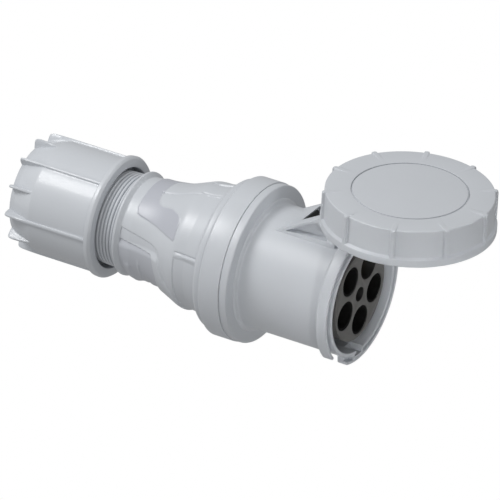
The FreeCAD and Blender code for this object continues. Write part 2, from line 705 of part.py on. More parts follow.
def build_lid():
    cap = new_body("lid_cap")
    ring_bore = S.lid_radius - S.lid_wall
    skirt = ring_bore - S.ring_play
    disc = S.disc_radius
    plate = -S.lid_slope - 2.2
    foot = plate - S.cap_skirt_height
    floor = foot + S.cap_wall
    top = size(-0.2)
    turned(cap, "cap_turned", [
        (0, top), (disc, top), (disc, floor), (skirt - S.cap_wall, floor), (skirt - S.cap_wall, plate),
        (skirt, plate), (skirt, foot), (disc - S.cap_wall, foot), (disc - S.cap_wall, top - S.cap_wall),
        (0, top - S.cap_wall),
    ])
    drop = HINGE_Z - LID_TOP
    arm = skirt - 0.9
    eye = S.hinge_eye_radius - 0.2
    rib(cap, "lid_arm", [
        (arm - 1.8, plate - 1.0), (arm, plate - 1.0), (arm, -S.lid_height - 0.9), (S.hinge_y, drop + eye),
        (S.hinge_y, drop), (arm - 1.8, drop),
    ], S.arm_half_width * 2.0, role="YZ_Plane")
    rib(cap, "lid_eye", [(S.hinge_y, drop, eye)], S.arm_half_width * 2.0, role="YZ_Plane", shape=rounds)
    eye_bore = [(S.hinge_y, drop, S.hinge_pin_radius + S.hinge_play)]
    rib(cap, "lid_eye_bore", eye_bore, S.arm_half_width * 4.0, role="YZ_Plane", cut=True, shape=rounds)
    stand_open(cap)

    gasket = new_body("lid_gasket")
    high = foot - 0.05
    inner = MOUTH_RADIUS - 2.0
    outer = S.bead_radius + 0.4
    turned(gasket, "gasket_turned", [
        (inner, high), (outer, high), (outer, high - S.gasket_height), (inner, high - S.gasket_height),
    ])
    stand_open(gasket)

    ring = new_body("bayonet_ring")
    edge = disc + S.disc_gap
    roof = plate + 0.4
    wide = S.lid_radius
    side = S.lid_lip_radius
    lip = -S.lid_height + S.lid_lip_height
    turned(ring, "ring_turned", [
        (edge, 0), (wide - 1.5, -S.lid_slope), (wide, -S.lid_slope - 1.6), (wide, lip + 1.2), (side, lip),
        (side, -S.lid_height), (ring_bore, -S.lid_height), (ring_bore, roof), (edge, roof),
    ])
    bar = rib(ring, "ring_rib", [
        (edge + 3.0, roof + 0.5), (edge + 3.0, 0), (side - 1.6, -0.2), (side, -2.2), (side, lip - 0.4),
        (ring_bore + 0.6, lip - 0.4), (ring_bore + 0.6, roof + 0.5),
    ], S.lid_rib_width, turn=90.0)
    around(ring, "ring_ribs", [bar], 10)
    # Lugs for the rim's entry gaps, and hooks that hold the ring under the lid's skirt.
    seat = ring_bore + 0.6
    lug_top = -S.lid_rise - 1.0 - S.bead_height - 1.1
    lug_turn = 90.0 + S.bead_turn.value - S.bead_gap_angle.value / 2.0 - S.lug_half_angle.value
    lug = turned(ring, "lug", [
        (S.lug_inner_radius, lug_top - S.lug_height), (seat, lug_top - S.lug_height), (seat, lug_top),
        (S.lug_inner_radius, lug_top),
    ], turn=lug_turn, angle=S.lug_half_angle * 2.0)
    around(ring, "lugs", [lug], 2)
    for name, turn in (("a", 160.0), ("b", 285.0)):
        hook = turned(ring, "hook_" + name, [
            (skirt - 1.2, foot - 0.3), (seat, foot - 0.3), (seat, foot - 2.0), (skirt - 1.2, foot - 1.6),
        ], turn=turn, angle=14.0)
    ring.Tip = hook
    stand_open(ring)

    pin = DOC.addObject("Part::Cylinder", "hinge_pin")
    pin.Label = "hinge_pin"
    half = S.hinge_plate_inner + S.hinge_plate_width
    pin.setExpression("Radius", S.hinge_pin_radius.text)
    pin.setExpression("Height", (half * 2.0).text)
    pin.Placement.Rotation = FreeCAD.Rotation(FreeCAD.Vector(0, 1, 0), 90.0)
    pin.setExpression("Placement.Base.x", (-half).text)
    pin.setExpression("Placement.Base.y", S.hinge_y.text)
    pin.setExpression("Placement.Base.z", HINGE_Z.text)
    return cap, gasket, ring, pin


def main():
    pieces = [build_nut()]
    pieces += list(build_gland())
    pieces.append(build_grip())
    pieces.append(build_shell())
    pieces.append(build_stop())
    pieces.append(build_housing_seal())
    insert, carrier, carrier_low = build_insert()
    pieces += [insert, carrier]
    contacts, screws = build_contacts(carrier_low)
    pieces += contacts
    screw_set = joined("terminal_screws", screws, "Part::Compound")
    screw_set.Label = "terminal_screws"
    pieces.append(screw_set)
    pieces += list(build_lid())
    DOC.recompute()
    for obj in DOC.Objects:
        bad = [s for s in obj.State if s in ("Invalid", "Error")]
        if bad:
            raise RuntimeError("%s is %s" % (obj.Name, bad))
    os.makedirs("parts", exist_ok=True)
    for piece in pieces:
        if piece.Shape.isNull() or not piece.Shape.isValid():
            raise RuntimeError("%s has no valid shape" % piece.Label)
        piece.Shape.exportStep("parts/%s.step" % piece.Label)


main()
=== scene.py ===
"""Looks of an industrial power coupler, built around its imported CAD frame.

Sizes are in millimetres in the row frame: +Z runs along the connector from the
cable nut to the mouth and +Y points to the lid's hinge. Meshes are in metres.
"""

import logging
import math
from collections.abc import Iterable, Sequence
from dataclasses import dataclass, field
from enum import Enum

import bmesh
import bpy
import numpy as np
from mathutils import Matrix, Vector


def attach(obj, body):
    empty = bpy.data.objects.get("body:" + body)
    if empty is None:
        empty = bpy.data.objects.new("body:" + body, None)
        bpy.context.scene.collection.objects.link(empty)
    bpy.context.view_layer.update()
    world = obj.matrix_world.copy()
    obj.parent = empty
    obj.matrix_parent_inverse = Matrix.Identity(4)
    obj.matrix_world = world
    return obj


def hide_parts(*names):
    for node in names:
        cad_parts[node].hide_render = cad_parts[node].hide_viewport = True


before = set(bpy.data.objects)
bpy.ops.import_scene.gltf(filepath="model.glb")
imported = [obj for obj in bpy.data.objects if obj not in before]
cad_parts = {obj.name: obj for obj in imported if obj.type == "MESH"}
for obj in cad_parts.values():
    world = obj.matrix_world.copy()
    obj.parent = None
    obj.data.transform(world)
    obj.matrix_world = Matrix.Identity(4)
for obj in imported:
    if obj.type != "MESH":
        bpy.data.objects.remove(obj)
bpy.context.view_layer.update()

MM = 0.001
LID_FRAME = Matrix(((1, 0, 0, 0), (0, 0, 1, 0.0829), (0, -1, 0, 0.2677), (0, 0, 0, 1)))
# Mesh attribute that marks the grip's own pad colour, and the insert's hole walls, which get painted shade
PAD_OR_SHADE_MARK = "soft_pad_or_painted_shade"
Outline = Sequence[tuple[float, ...]]
Pair = tuple[float, float]
Triple = tuple[float, float, float]
Object = bpy.types.Object
Material = bpy.types.Material
Tree = bpy.types.NodeTree
Socket = bpy.types.NodeSocket
Sockets = bpy.types.bpy_prop_collection
log = logging.getLogger("coupler")

# Sections in a full turn, and how far a cutting tool reaches past the middle
ROUND = 192
BEYOND = 30.0
# Half angle above which a corner counts as straight, and the share of a side that a rounding may take
STRAIGHT = 1.55
SIDE_SHARE = 0.48
# Half section of a rib from its foot to its crest: shares of half width, flare and rise
RIB_SECTION = (
    (1.0, 1.0, 0.0), (1.0, 0.4, 0.12), (1.0, 0.1, 0.42), (0.92, 0.0, 0.84), (0.6, 0.0, 0.97), (0.0, 0.0, 1.0))
# Steps between two stations of a rib, how far its foot is sunk, and the least rise that sets its direction
RIB_STEPS = 6
RIB_SINK = 0.04
RIB_LEAST = 0.05


class Body(Enum):
    """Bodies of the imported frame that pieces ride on."""

    HOUSING = "housing"
    LID = "lid"
    RING = "locking_ring"
    CORE = "gland_core"
    NUT = "nut"


class Slot(Enum):
    """Material slots of the record."""

    GREY = "grey_plastic"
    PALE = "pale_plastic"
    DARK = "dark_plastic"
    BLACK = "black_plastic"
    RUBBER = "black_rubber"
    BRASS = "sleeve_brass"
    STEEL = "steel"


class Combine(Enum):
    """Ways of combining two closed meshes."""

    UNION = "UNION"
    DIFFERENCE = "DIFFERENCE"


# Mesh tools

def rounded(corners: Outline, step: float = 15.0) -> np.ndarray:
    """Round the corners of a closed outline.

    Args:
        corners: Points (u, v) or (u, v, radius) in order.
        step: Largest turn between two points of an arc, in degrees.

    Returns:
        The outline's points, one row each.
    """
    points = np.array([corner[:2] for corner in corners], float)
    result = []
    for index, corner in enumerate(corners):
        here = points[index]
        radius = corner[2] if len(corner) > 2 else 0.0
        back = points[index - 1] - here
        ahead = points[(index + 1) % len(points)] - here
        spans = np.linalg.norm(back), np.linalg.norm(ahead)
        back, ahead = back / spans[0], ahead / spans[1]
        half = 0.5 * math.acos(float(np.clip(back @ ahead, -1.0, 1.0)))
        if radius <= 0.0 or half > STRAIGHT:
            result.append(here)
            continue
        reach = min(radius / math.tan(half), SIDE_SHARE * min(spans))
        middle = back + ahead
        centre = here + middle / np.linalg.norm(middle) * reach / math.cos(half)
        turn = math.copysign(math.pi - 2.0 * half, back[1] * ahead[0] - back[0] * ahead[1])
        count = max(2, math.ceil(abs(math.degrees(turn)) / step))
        arm = here + back * reach - centre
        for part in np.linspace(0.0, turn, count + 1):
            cos, sin = math.cos(part), math.sin(part)
            result.append(centre + (arm[0] * cos - arm[1] * sin, arm[0] * sin + arm[1] * cos))
    return np.array(result)


def disc(u: float, v: float, radius: float, count: int = 64) -> list[Pair]:
    """Outline of a circle about (u, v)."""
    turns = np.linspace(0.0, 2.0 * math.pi, count, endpoint=False)
    return [(u + radius * math.cos(turn), v + radius * math.sin(turn)) for turn in turns]


def close_up(mesh: bpy.types.Mesh, gap: float = 1e-7) -> None:
    """Merge a mesh's doubles and turn its faces outwards."""
    work = bmesh.new()
    work.from_mesh(mesh)
    bmesh.ops.remove_doubles(work, verts=work.verts, dist=gap)
    bmesh.ops.dissolve_degenerate(work, edges=work.edges, dist=gap)
    bmesh.ops.recalc_face_normals(work, faces=work.faces)
    work.to_mesh(mesh)
    work.free()


def linked(name: str, data: bpy.types.ID) -> Object:
    """Make an object of that data and link it to the scene."""
    obj = bpy.data.objects.new(name, data)
    bpy.context.scene.collection.objects.link(obj)
    return obj


def new_object(name: str, points: np.ndarray, faces: Iterable[Sequence[int]]) -> Object:
    """Make an object from points in millimetres.

    Args:
        name: Name of the object and its mesh.
        points: One row (x, y, z) for each vertex.
        faces: Vertex numbers of each face.

    Returns:
        The object, linked to the scene.
    """
    mesh = bpy.data.meshes.new(name)
    mesh.from_pydata((np.asarray(points) * MM).tolist(), [], [tuple(map(int, face)) for face in faces])
    close_up(mesh)
    return linked(name, mesh)


def loft(name: str, rows: np.ndarray, closed: bool) -> Object:
    """Skin a row of equal closed sections.

    Args:
        name: Name of the object.
        rows: Array of sections, points and coordinates.
        closed: Whether the last section joins the first; otherwise both ends are capped.

    Returns:
        The skinned object.
    """
    count, size = rows.shape[:2]
    faces: list[Sequence[int]] = []
    for near in range(count if closed else count - 1):
        here, there = near * size, (near + 1) % count * size
        for index in range(size):
            following = (index + 1) % size
            faces.append((here + index, there + index, there + following, here + following))
    if not closed:
        faces.append(range(size))
        faces.append(range(count * size - 1, (count - 1) * size - 1, -1))
    return new_object(name, rows.reshape(-1, 3), faces)


def revolve(name: str, corners: Outline, start: float = 0.0, sweep: float = 360.0) -> Object:
    """Turn an outline of (radius, height) corners about the Z axis.

    Args:
        name: Name of the object.
        corners: Outline with optional corner radii.
        start: Azimuth of the first section in degrees, from +X towards +Y.
        sweep: Angle turned through in degrees.

    Returns:
        The turned object.
    """
    outline = rounded(corners)
    full = sweep >= 360.0
    count = ROUND if full else max(8, round(ROUND * sweep / 360.0))
    turns = np.radians(start + sweep * np.arange(count if full else count + 1) / count)
    radius, height = outline[:, 0], outline[:, 1]
    rows = np.stack([np.outer(np.cos(turns), radius), np.outer(np.sin(turns), radius),
                     np.broadcast_to(height, (len(turns), len(height)))], axis=-1)
    return loft(name, rows, full)


def prism(name: str, corners: Outline, low: float, high: float) -> Object:
    """Extrude an outline of (y, z) corners along X from low to high."""
    outline = rounded(corners)
    rows = np.array([np.column_stack([np.full(len(outline), x), outline]) for x in (low, high)])
    return loft(name, rows, False)


def bake(obj: Object) -> Object:
    """Turn an object's modifiers into plain mesh."""
    graph = bpy.context.evaluated_depsgraph_get()
    mesh = bpy.data.meshes.new_from_object(obj.evaluated_get(graph))
    mesh.name = obj.name
    obj.modifiers.clear()
    obj.data = mesh
    return obj


def soften(obj: Object, width: float, segments: int = 3, angle: float = 30.0) -> Object:
    """Round an object's sharp edges.

    Args:
        obj: Object to round.
        width: Width of the rounding in millimetres.
        segments: Rows of faces across the rounding.
        angle: Smallest angle in degrees that counts as sharp.

    Returns:
        The same object with a plain mesh.
    """
    bevel = obj.modifiers.new("soften", "BEVEL")
    bevel.width = width * MM
    bevel.segments = segments
    bevel.limit_method = "ANGLE"
    bevel.angle_limit = math.radians(angle)
    bevel.use_clamp_overlap = True
    return bake(obj)


def combine(base: Object, how: Combine, *tools: Object) -> Object:
    """Combine closed meshes and drop the tools.

    Args:
        base: Object that keeps the result.
        how: Way of combining.
        tools: Objects that are added or taken away.

    Returns:
        The base object.
    """
    for tool in tools:
        step = base.modifiers.new(how.value.lower(), "BOOLEAN")
        step.operation = how.value
        step.solver = "EXACT"
        step.object = tool
        bake(base)
        bpy.data.objects.remove(tool)
    close_up(base.data, 1e-6)
    return base


def onto_lid(obj: Object) -> Object:
    """Move an object's mesh from the lid's drawing frame into the row frame."""
    obj.data.transform(LID_FRAME)
    return obj


def vertex_places(obj: Object) -> np.ndarray:
    """Places of an object's vertices in millimetres, one row for each axis."""
    places = np.empty(3 * len(obj.data.vertices))
    obj.data.vertices.foreach_get("co", places)
    return places.reshape(-1, 3).T / MM


def mark(obj: Object, marks: np.ndarray) -> None:
    """Keep a mark from 0 to 1 on each vertex for the object's material."""
    layer = obj.data.attributes.new(PAD_OR_SHADE_MARK, "FLOAT", "POINT")
    layer.data.foreach_set("value", marks.astype(np.float32))


def softened_copy(node: str, width: float) -> Object:
    """Copy a CAD node as one merged mesh with rounded edges.

    Args:
        node: Name of the node.
        width: Width of the rounding in millimetres.

    Returns:
        The copy, named for its node.
    """
    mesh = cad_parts[node].data.copy()
    mesh.name = node + "_dressed"
    mesh.materials.clear()
    layers = [item.name for item in mesh.attributes if item.domain == "CORNER" and not item.is_internal]
    for layer in layers:
        mesh.attributes.remove(mesh.attributes[layer])
    if mesh.has_custom_normals:
        mesh.normals_split_custom_set([(0.0, 0.0, 0.0)] * len(mesh.loops))
    work = bmesh.new()
    work.from_mesh(mesh)
    bmesh.ops.remove_doubles(work, verts=work.verts, dist=2e-6)
    bmesh.ops.dissolve_limit(work, angle_limit=math.radians(0.6), verts=work.verts, edges=work.edges)
    work.to_mesh(mesh)
    work.free()
    return soften(linked(mesh.name, mesh), width, segments=2, angle=35.0)


def present(obj: Object, material: Material, body: Body, slot: Slot, *nodes: str,
            smooth: float = 32.0) -> None:
    """Dress a finished piece and hand it to the frame.

    Args:
        obj: Piece with a plain mesh.
        material: Its material.
        body: Body it rides on.
        slot: Slot that its finish belongs to; not used.
        nodes: CAD nodes it stands for.
        smooth: Edges sharper than this angle, in degrees, stay crisp.
    """
    mesh = obj.data
    mesh.materials.clear()
    mesh.materials.append(material)
    mesh.polygons.foreach_set("material_index", np.zeros(len(mesh.polygons), np.int32))
    mesh.polygons.foreach_set("use_smooth", np.ones(len(mesh.polygons), bool))
    mesh.set_sharp_from_angle(angle=math.radians(smooth))
    mesh.update()
    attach(obj, body.value)
    if nodes:
        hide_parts(*nodes)
    mesh.calc_loop_triangles()
    log.info("%s: %d triangles on %s", obj.name, len(mesh.loop_triangles), body.value)


# Node trees

@dataclass
class Canvas:
    """Adds nodes to a tree and links them."""

    tree: Tree

    def add(self, kind: str, inputs: dict[str, object] | None = None, **settings: object) -> bpy.types.Node:
        """Add a node.

        Args:
            kind: Type name of the node.
            inputs: Values or sockets by the input's name.
            settings: Properties of the node.

        Returns:
            The new node.
        """
        node = self.tree.nodes.new(kind)
        for name, value in settings.items():
            setattr(node, name, value)
        self.feed_all(node.inputs, inputs or {})
        return node

    def first(self, kind: str, inputs: dict[str, object] | None = None) -> Socket:
        """Add a node and give its first output."""
        return self.add(kind, inputs).outputs[0]

    def feed(self, socket: Socket, value: object) -> None:
        """Link another socket to an input, or set the input's own value."""
        if isinstance(value, Socket):
            self.tree.links.new(value, socket)
        else:
            socket.default_value = value

    def feed_all(self, sockets: Sockets, values: dict[str, object]) -> None:
        """Feed inputs by their names."""
        for name, value in values.items():
            self.feed(sockets[name], value)

    def maths(self, operation: str, *values: object, kind: str = "ShaderNodeMath") -> Socket:
        """Add a sum node.

        Args:
            operation: Operation of the node.
            values: Values or sockets of its inputs in order.
            kind: Type name of the node.

        Returns:
            The node's first output.
        """
        node = self.tree.nodes.new(kind)
        node.operation = operation
        for socket, value in zip(node.inputs, values):
            self.feed(socket, value)
        return node.outputs[0]

    def spread(self, value: Socket, low: object, high: object) -> Socket:
        """Map a value from 0..1 to low..high."""
        return self.first("ShaderNodeMapRange", {"Value": value, "To Min": low, "To Max": high})

    def mix(self, share: object, *colours: object) -> Socket:
        """Mix two colours, which go to sockets 6 and 7 of the node."""
        node = self.add("ShaderNodeMix", data_type="RGBA")
        for index, value in zip((0, 6, 7), (share, *colours)):
            self.feed(node.inputs[index], value)
        return node.outputs[2]

    def settle(self, geometry: Socket, finish: Socket, out: Socket) -> Tree:
        """End a geometry tree: make its instances real, set their material and feed the output."""
        real = self.first("GeometryNodeRealizeInstances", {"Geometry": geometry})
        self.feed(out, self.first("GeometryNodeSetMaterial", {"Geometry": real, "Material": finish}))
        return self.tree


def new_tree(name: str, kind: str, inputs: dict[str, str],
             outputs: dict[str, str]) -> tuple[Canvas, Sockets, Sockets]:
    """Start a node tree with named sockets.

    Args:
        name: Name of the tree.
        kind: Type of the tree.
        inputs: Socket types by name.
        outputs: Socket types by name.

    Returns:
        The canvas, the input node's sockets and the output node's sockets.
    """
    tree = bpy.data.node_groups.new(name, kind)
    for label, socket in inputs.items():
        tree.interface.new_socket(label, in_out="INPUT", socket_type="NodeSocket" + socket)
    for label, socket in outputs.items():
        tree.interface.new_socket(label, in_out="OUTPUT", socket_type="NodeSocket" + socket)
    canvas = Canvas(tree)
    return canvas, canvas.add("NodeGroupInput").outputs, canvas.add("NodeGroupOutput").inputs


def crown_tree() -> Tree:
    """Geometry tree that repeats a piece evenly about the Z axis."""
    canvas, given, out = new_tree(
        "crown", "GeometryNodeTree",
        {"Piece": "Geometry", "Count": "Int", "Phase": "Float", "Finish": "Material"}, {"Crown": "Geometry"})
    share = canvas.maths("DIVIDE", canvas.first("GeometryNodeInputIndex"), given["Count"])
    turn = canvas.maths("MULTIPLY_ADD", share, 2.0 * math.pi, given["Phase"])
    angles = canvas.first("ShaderNodeCombineXYZ", {"Z": turn})
    placed = canvas.first("GeometryNodeInstanceOnPoints", {
        "Points": canvas.first("GeometryNodePoints", {"Count": given["Count"]}),
        "Instance": canvas.first("GeometryNodeGeometryToInstance", {"Geometry": given["Piece"]}),
        "Rotation": canvas.first("FunctionNodeEulerToRotation", {"Euler": angles})})
    return canvas.settle(placed, given["Finish"], out["Crown"])


def thread_tree() -> Tree:
    """Geometry tree that winds a round ridge about the Z axis."""
    canvas, given, out = new_tree(
        "screw_thread", "GeometryNodeTree",
        {"Piece": "Geometry", "Turns": "Float", "Pitch": "Float", "Rear Radius": "Float",
         "Front Radius": "Float", "Ridge": "Float", "Rear Height": "Float", "Finish": "Material"},
        {"Thread": "Geometry"})
    height = canvas.maths("MULTIPLY", given["Turns"], given["Pitch"])
    spiral = canvas.first("GeometryNodeCurveSpiral", {
        "Resolution": 96, "Rotations": given["Turns"], "Start Radius": given["Rear Radius"],
        "End Radius": given["Front Radius"], "Height": height})
    ridge = canvas.first("GeometryNodeCurvePrimitiveCircle", {"Resolution": 14, "Radius": given["Ridge"]})
    tube = canvas.first("GeometryNodeCurveToMesh", {
        "Curve": spiral, "Profile Curve": ridge, "Fill Caps": True})
    lift = canvas.first("ShaderNodeCombineXYZ", {"Z": given["Rear Height"]})
    moved = canvas.first("GeometryNodeTransform", {"Geometry": tube, "Translation": lift})
    return canvas.settle(moved, given["Finish"], out["Thread"])


def grow(obj: Object, tree: Tree, values: dict[str, object]) -> Object:
    """Run a geometry tree on an object and keep the plain mesh.

    Args:
        obj: Object that gives the tree its first input.
        tree: The tree.
        values: Input values by the input's name.

    Returns:
        The same object.
    """
    step = obj.modifiers.new(tree.name, "NODES")
    step.node_group = tree
    names = {item.name: item.identifier for item in tree.interface.items_tree if item.in_out == "INPUT"}
    for label, value in values.items():
        step[names[label]] = value
    return bake(obj)


def moulded_skin() -> Tree:
    """Shader group of a moulded skin: faint clouds in colour and gloss over a fine grain."""
    canvas, given, out = new_tree(
        "moulded_skin", "ShaderNodeTree",
        {"Vector": "Vector", "Colour": "Color", "Mottle": "Float", "Roughness": "Float",
         "Grain Size": "Float"},
        {"Colour": "Color", "Roughness": "Float", "Height": "Float"})
    clouds = canvas.first("ShaderNodeTexNoise", {"Vector": given["Vector"], "Scale": 55.0, "Detail": 4.0})
    density = canvas.maths("DIVIDE", 1.0, given["Grain Size"])
    grain = canvas.first("ShaderNodeTexNoise", {
        "Vector": given["Vector"], "Scale": density, "Detail": 3.0, "Roughness": 0.6})
    less = canvas.maths("SUBTRACT", 1.0, given["Mottle"])
    more = canvas.maths("ADD", 1.0, given["Mottle"])
    shade = canvas.spread(clouds, less, more)
    tint = canvas.maths("MULTIPLY", given["Colour"], shade, kind="ShaderNodeVectorMath")
    speck = canvas.spread(grain, -0.07, 0.07)
    veil = canvas.spread(clouds, -0.05, 0.05)
    gloss = canvas.maths("ADD", canvas.maths("ADD", given["Roughness"], speck), veil)
    canvas.feed_all(out, {"Colour": tint, "Roughness": gloss, "Height": grain})
    return canvas.tree


def turned_skin() -> Tree:
    """Shader group of turned metal: fine tool lines across the Z axis with tarnish."""
    canvas, given, out = new_tree(
        "turned_skin", "ShaderNodeTree",
        {"Vector": "Vector", "Colour": "Color", "Tarnish": "Color", "Roughness": "Float"},
        {"Colour": "Color", "Roughness": "Float", "Height": "Float"})
    lines = canvas.add("ShaderNodeTexWave", {
        "Vector": given["Vector"], "Scale": 900.0, "Distortion": 1.5, "Detail": 2.0},
        bands_direction="Z").outputs[1]
    stain = canvas.first("ShaderNodeTexNoise", {"Vector": given["Vector"], "Scale": 240.0, "Detail": 5.0})
    share = canvas.spread(stain, -0.6, 1.0)
    gloss = canvas.maths("ADD", given["Roughness"], canvas.spread(lines, -0.06, 0.1))
    tint = canvas.mix(share, given["Colour"], given["Tarnish"])
    canvas.feed_all(out, {"Colour": tint, "Roughness": gloss, "Height": lines})
    return canvas.tree


@dataclass(frozen=True)
class Plastic:
    """Moulded plastic or rubber.

    Attributes:
        name: Name of the material.
        colour: Base colour.
        roughness: Mean roughness.
        mottle: Share by which the colour varies.
        grain: Size of the grain in millimetres.
        relief: Strength of the grain's bump.
        gloss: Specular level.
        pad: Colour of the places that the mesh marks, if it has any: a pad's own colour, or painted shade on
            the insert's hole walls.
        coat: Weight of a polished skin.
    """

    name: str
    colour: Triple
    roughness: float
    mottle: float
    grain: float
    relief: float
    gloss: float = 0.5
    pad: Triple | None = None
    coat: float = 0.0

    def material(self, skin: Tree) -> Material:
        """Make the material.

        Args:
            skin: Shared group of a moulded skin.

        Returns:
            The material.
        """
        values = {"Colour": (*self.colour, 1.0), "Mottle": self.mottle, "Roughness": self.roughness,
                  "Grain Size": self.grain * MM}
        plain = {"Specular IOR Level": self.gloss, "Coat Weight": self.coat, "Coat Roughness": 0.12}
        return skinned(self.name, skin, values, plain, relief=self.relief, depth=0.05, pad=self.pad)


@dataclass(frozen=True)
class Metal:
    """Turned metal.

    Attributes:
        name: Name of the material.
        colour: Colour of the bright metal.
        tarnish: Colour of its stains.
        roughness: Mean roughness.
    """

    name: str
    colour: Triple
    tarnish: Triple
    roughness: float

    def material(self, skin: Tree) -> Material:
        """Make the material from the shared group of turned metal."""
        values = {"Colour": (*self.colour, 1.0), "Tarnish": (*self.tarnish, 1.0), "Roughness": self.roughness}
        return skinned(self.name, skin, values, {"Metallic": 1.0}, relief=0.15, depth=0.02)


def skinned(name: str, skin: Tree, values: dict[str, object], plain: dict[str, float], relief: float,
            depth: float, pad: Triple | None = None) -> Material:
    """Make a material whose colour, roughness and bump come from a shared group.

    Args:
        name: Name of the material.
        skin: The group.
        values: The group's input values by name.
        plain: Values on the shader's own sockets.
        relief: Strength of the bump.
        depth: Depth of the bump in millimetres.
        pad: Colour where the mesh's mark attribute is 1: a pad's own colour, or painted shade on the insert's
            hole walls.

    Returns:
        The material.
    """
    material = bpy.data.materials.new(name)
    material.use_nodes = True
    canvas = Canvas(material.node_tree)
    shader = material.node_tree.nodes["Principled BSDF"]
    place = canvas.add("ShaderNodeTexCoord").outputs["Object"]
    group = canvas.add("ShaderNodeGroup", {"Vector": place, **values}, node_tree=skin)
    if pad:
        marks = canvas.add("ShaderNodeAttribute", attribute_name=PAD_OR_SHADE_MARK).outputs["Fac"]
        canvas.feed(group.inputs["Colour"], canvas.mix(marks, values["Colour"], (*pad, 1.0)))
    bump = canvas.first("ShaderNodeBump", {
        "Strength": relief, "Distance": depth * MM, "Height": group.outputs["Height"]})
    canvas.feed_all(shader.inputs, {
        **plain, "Base Color": group.outputs["Colour"], "Roughness": group.outputs["Roughness"],
        "Normal": bump})
    return material


GREY = (0.527, 0.55, 0.582)
GRIP_GREY = Plastic("light_grey_grip", GREY, 0.36, 0.02, 0.45, 0.12, pad=(0.43, 0.445, 0.49))
NUT_GREY = Plastic("polished_grey_nut", GREY, 0.4, 0.02, 0.45, 0.06, coat=0.22)
# The insert's marked hole walls get a near-black pad colour: painted shade of the deep holes
INSERT_AND_HOLE_SHADE = Plastic("dark_insert_with_painted_hole_shade", (0.105, 0.104, 0.1), 0.5, 0.05, 0.4, 0.2, pad=(0.006, 0.006, 0.006))
PLASTICS = {
    Slot.GREY: Plastic("light_grey_housing", GREY, 0.36, 0.02, 0.45, 0.12),
    Slot.PALE: Plastic("pale_clamp", (0.68, 0.68, 0.65), 0.45, 0.03, 0.4, 0.15),
    Slot.DARK: Plastic("dark_insert", (0.105, 0.104, 0.1), 0.5, 0.05, 0.4, 0.2),
    Slot.BLACK: Plastic("black_guard", (0.004, 0.004, 0.004), 0.85, 0.1, 0.4, 0.2, 0.1),
    Slot.RUBBER: Plastic("black_seal", (0.012, 0.012, 0.012), 0.75, 0.15, 0.3, 0.3, 0.3),
}
METALS = {
    Slot.BRASS: Metal("sleeve_brass", (0.72, 0.53, 0.24), (0.42, 0.29, 0.12), 0.3),
    Slot.STEEL: Metal("plain_steel", (0.58, 0.58, 0.6), (0.36, 0.36, 0.38), 0.32),
}


class Palette:
    """All materials by slot, and the shared geometry trees."""

    def __init__(self) -> None:
        """Build the groups, materials and trees once."""
        moulded, turned = moulded_skin(), turned_skin()
        self.by_slot = {slot: finish.material(moulded) for slot, finish in PLASTICS.items()}
        self.by_slot |= {slot: finish.material(turned) for slot, finish in METALS.items()}
        self.grip = GRIP_GREY.material(moulded)
        self.nut = NUT_GREY.material(moulded)
        self.insert = INSERT_AND_HOLE_SHADE.material(moulded)
        self.crown = crown_tree()
        self.thread = thread_tree()

    def __getitem__(self, slot: Slot) -> Material:
        """Material of a slot."""
        return self.by_slot[slot]

    def ring_of(self, piece: Object, count: int, phase: float) -> Object:
        """Repeat a grey piece about the Z axis.

        Args:
            piece: Piece in its place at azimuth 0.
            count: Number of copies.
            phase: Azimuth of the first copy in degrees.

        Returns:
            One object with all copies.
        """
        values = {"Count": count, "Phase": math.radians(phase), "Finish": self[Slot.GREY]}
        return grow(piece, self.crown, values)


# Sub-assemblies

def swept_rib(name: str, crest: Outline, foot: Outline, width: float, flare: float) -> Object:
    """Rib at azimuth 0 whose foot flares into the surface that carries it.

    Args:
        name: Name of the object.
        crest: Stations (radius, height) along the crest.
        foot: Stations (radius, height) below them on the surface.
        width: Width of the rib.
        flare: Extra width at the foot on each side.

    Returns:
        The rib.
    """
    stations = np.linspace(0.0, 1.0, len(crest))
    fine = np.linspace(0.0, 1.0, RIB_STEPS * (len(crest) - 1) + 1)
    lines = [[np.interp(fine, stations, axis) for axis in np.array(line).T] for line in (crest, foot)]
    wide, flared, rise = np.array(RIB_SECTION).T
    across = -(0.5 * width * wide + flare * flared)
    sides = np.concatenate([across, -across[-2::-1], -across[:1], across[:1]])
    rise = np.concatenate([rise, rise[-2::-1]])
    sections = []
    for crown, base in zip(*(np.column_stack(line) for line in lines)):
        up = crown - base
        way = up / max(np.linalg.norm(up), RIB_LEAST)
        ring = np.vstack([base + up * rise[:, None] - RIB_SINK * way, base - way, base - way])
        sections.append(np.column_stack([ring[:, 0], sides, ring[:, 1]]))
    return loft(name, np.array(sections), False)


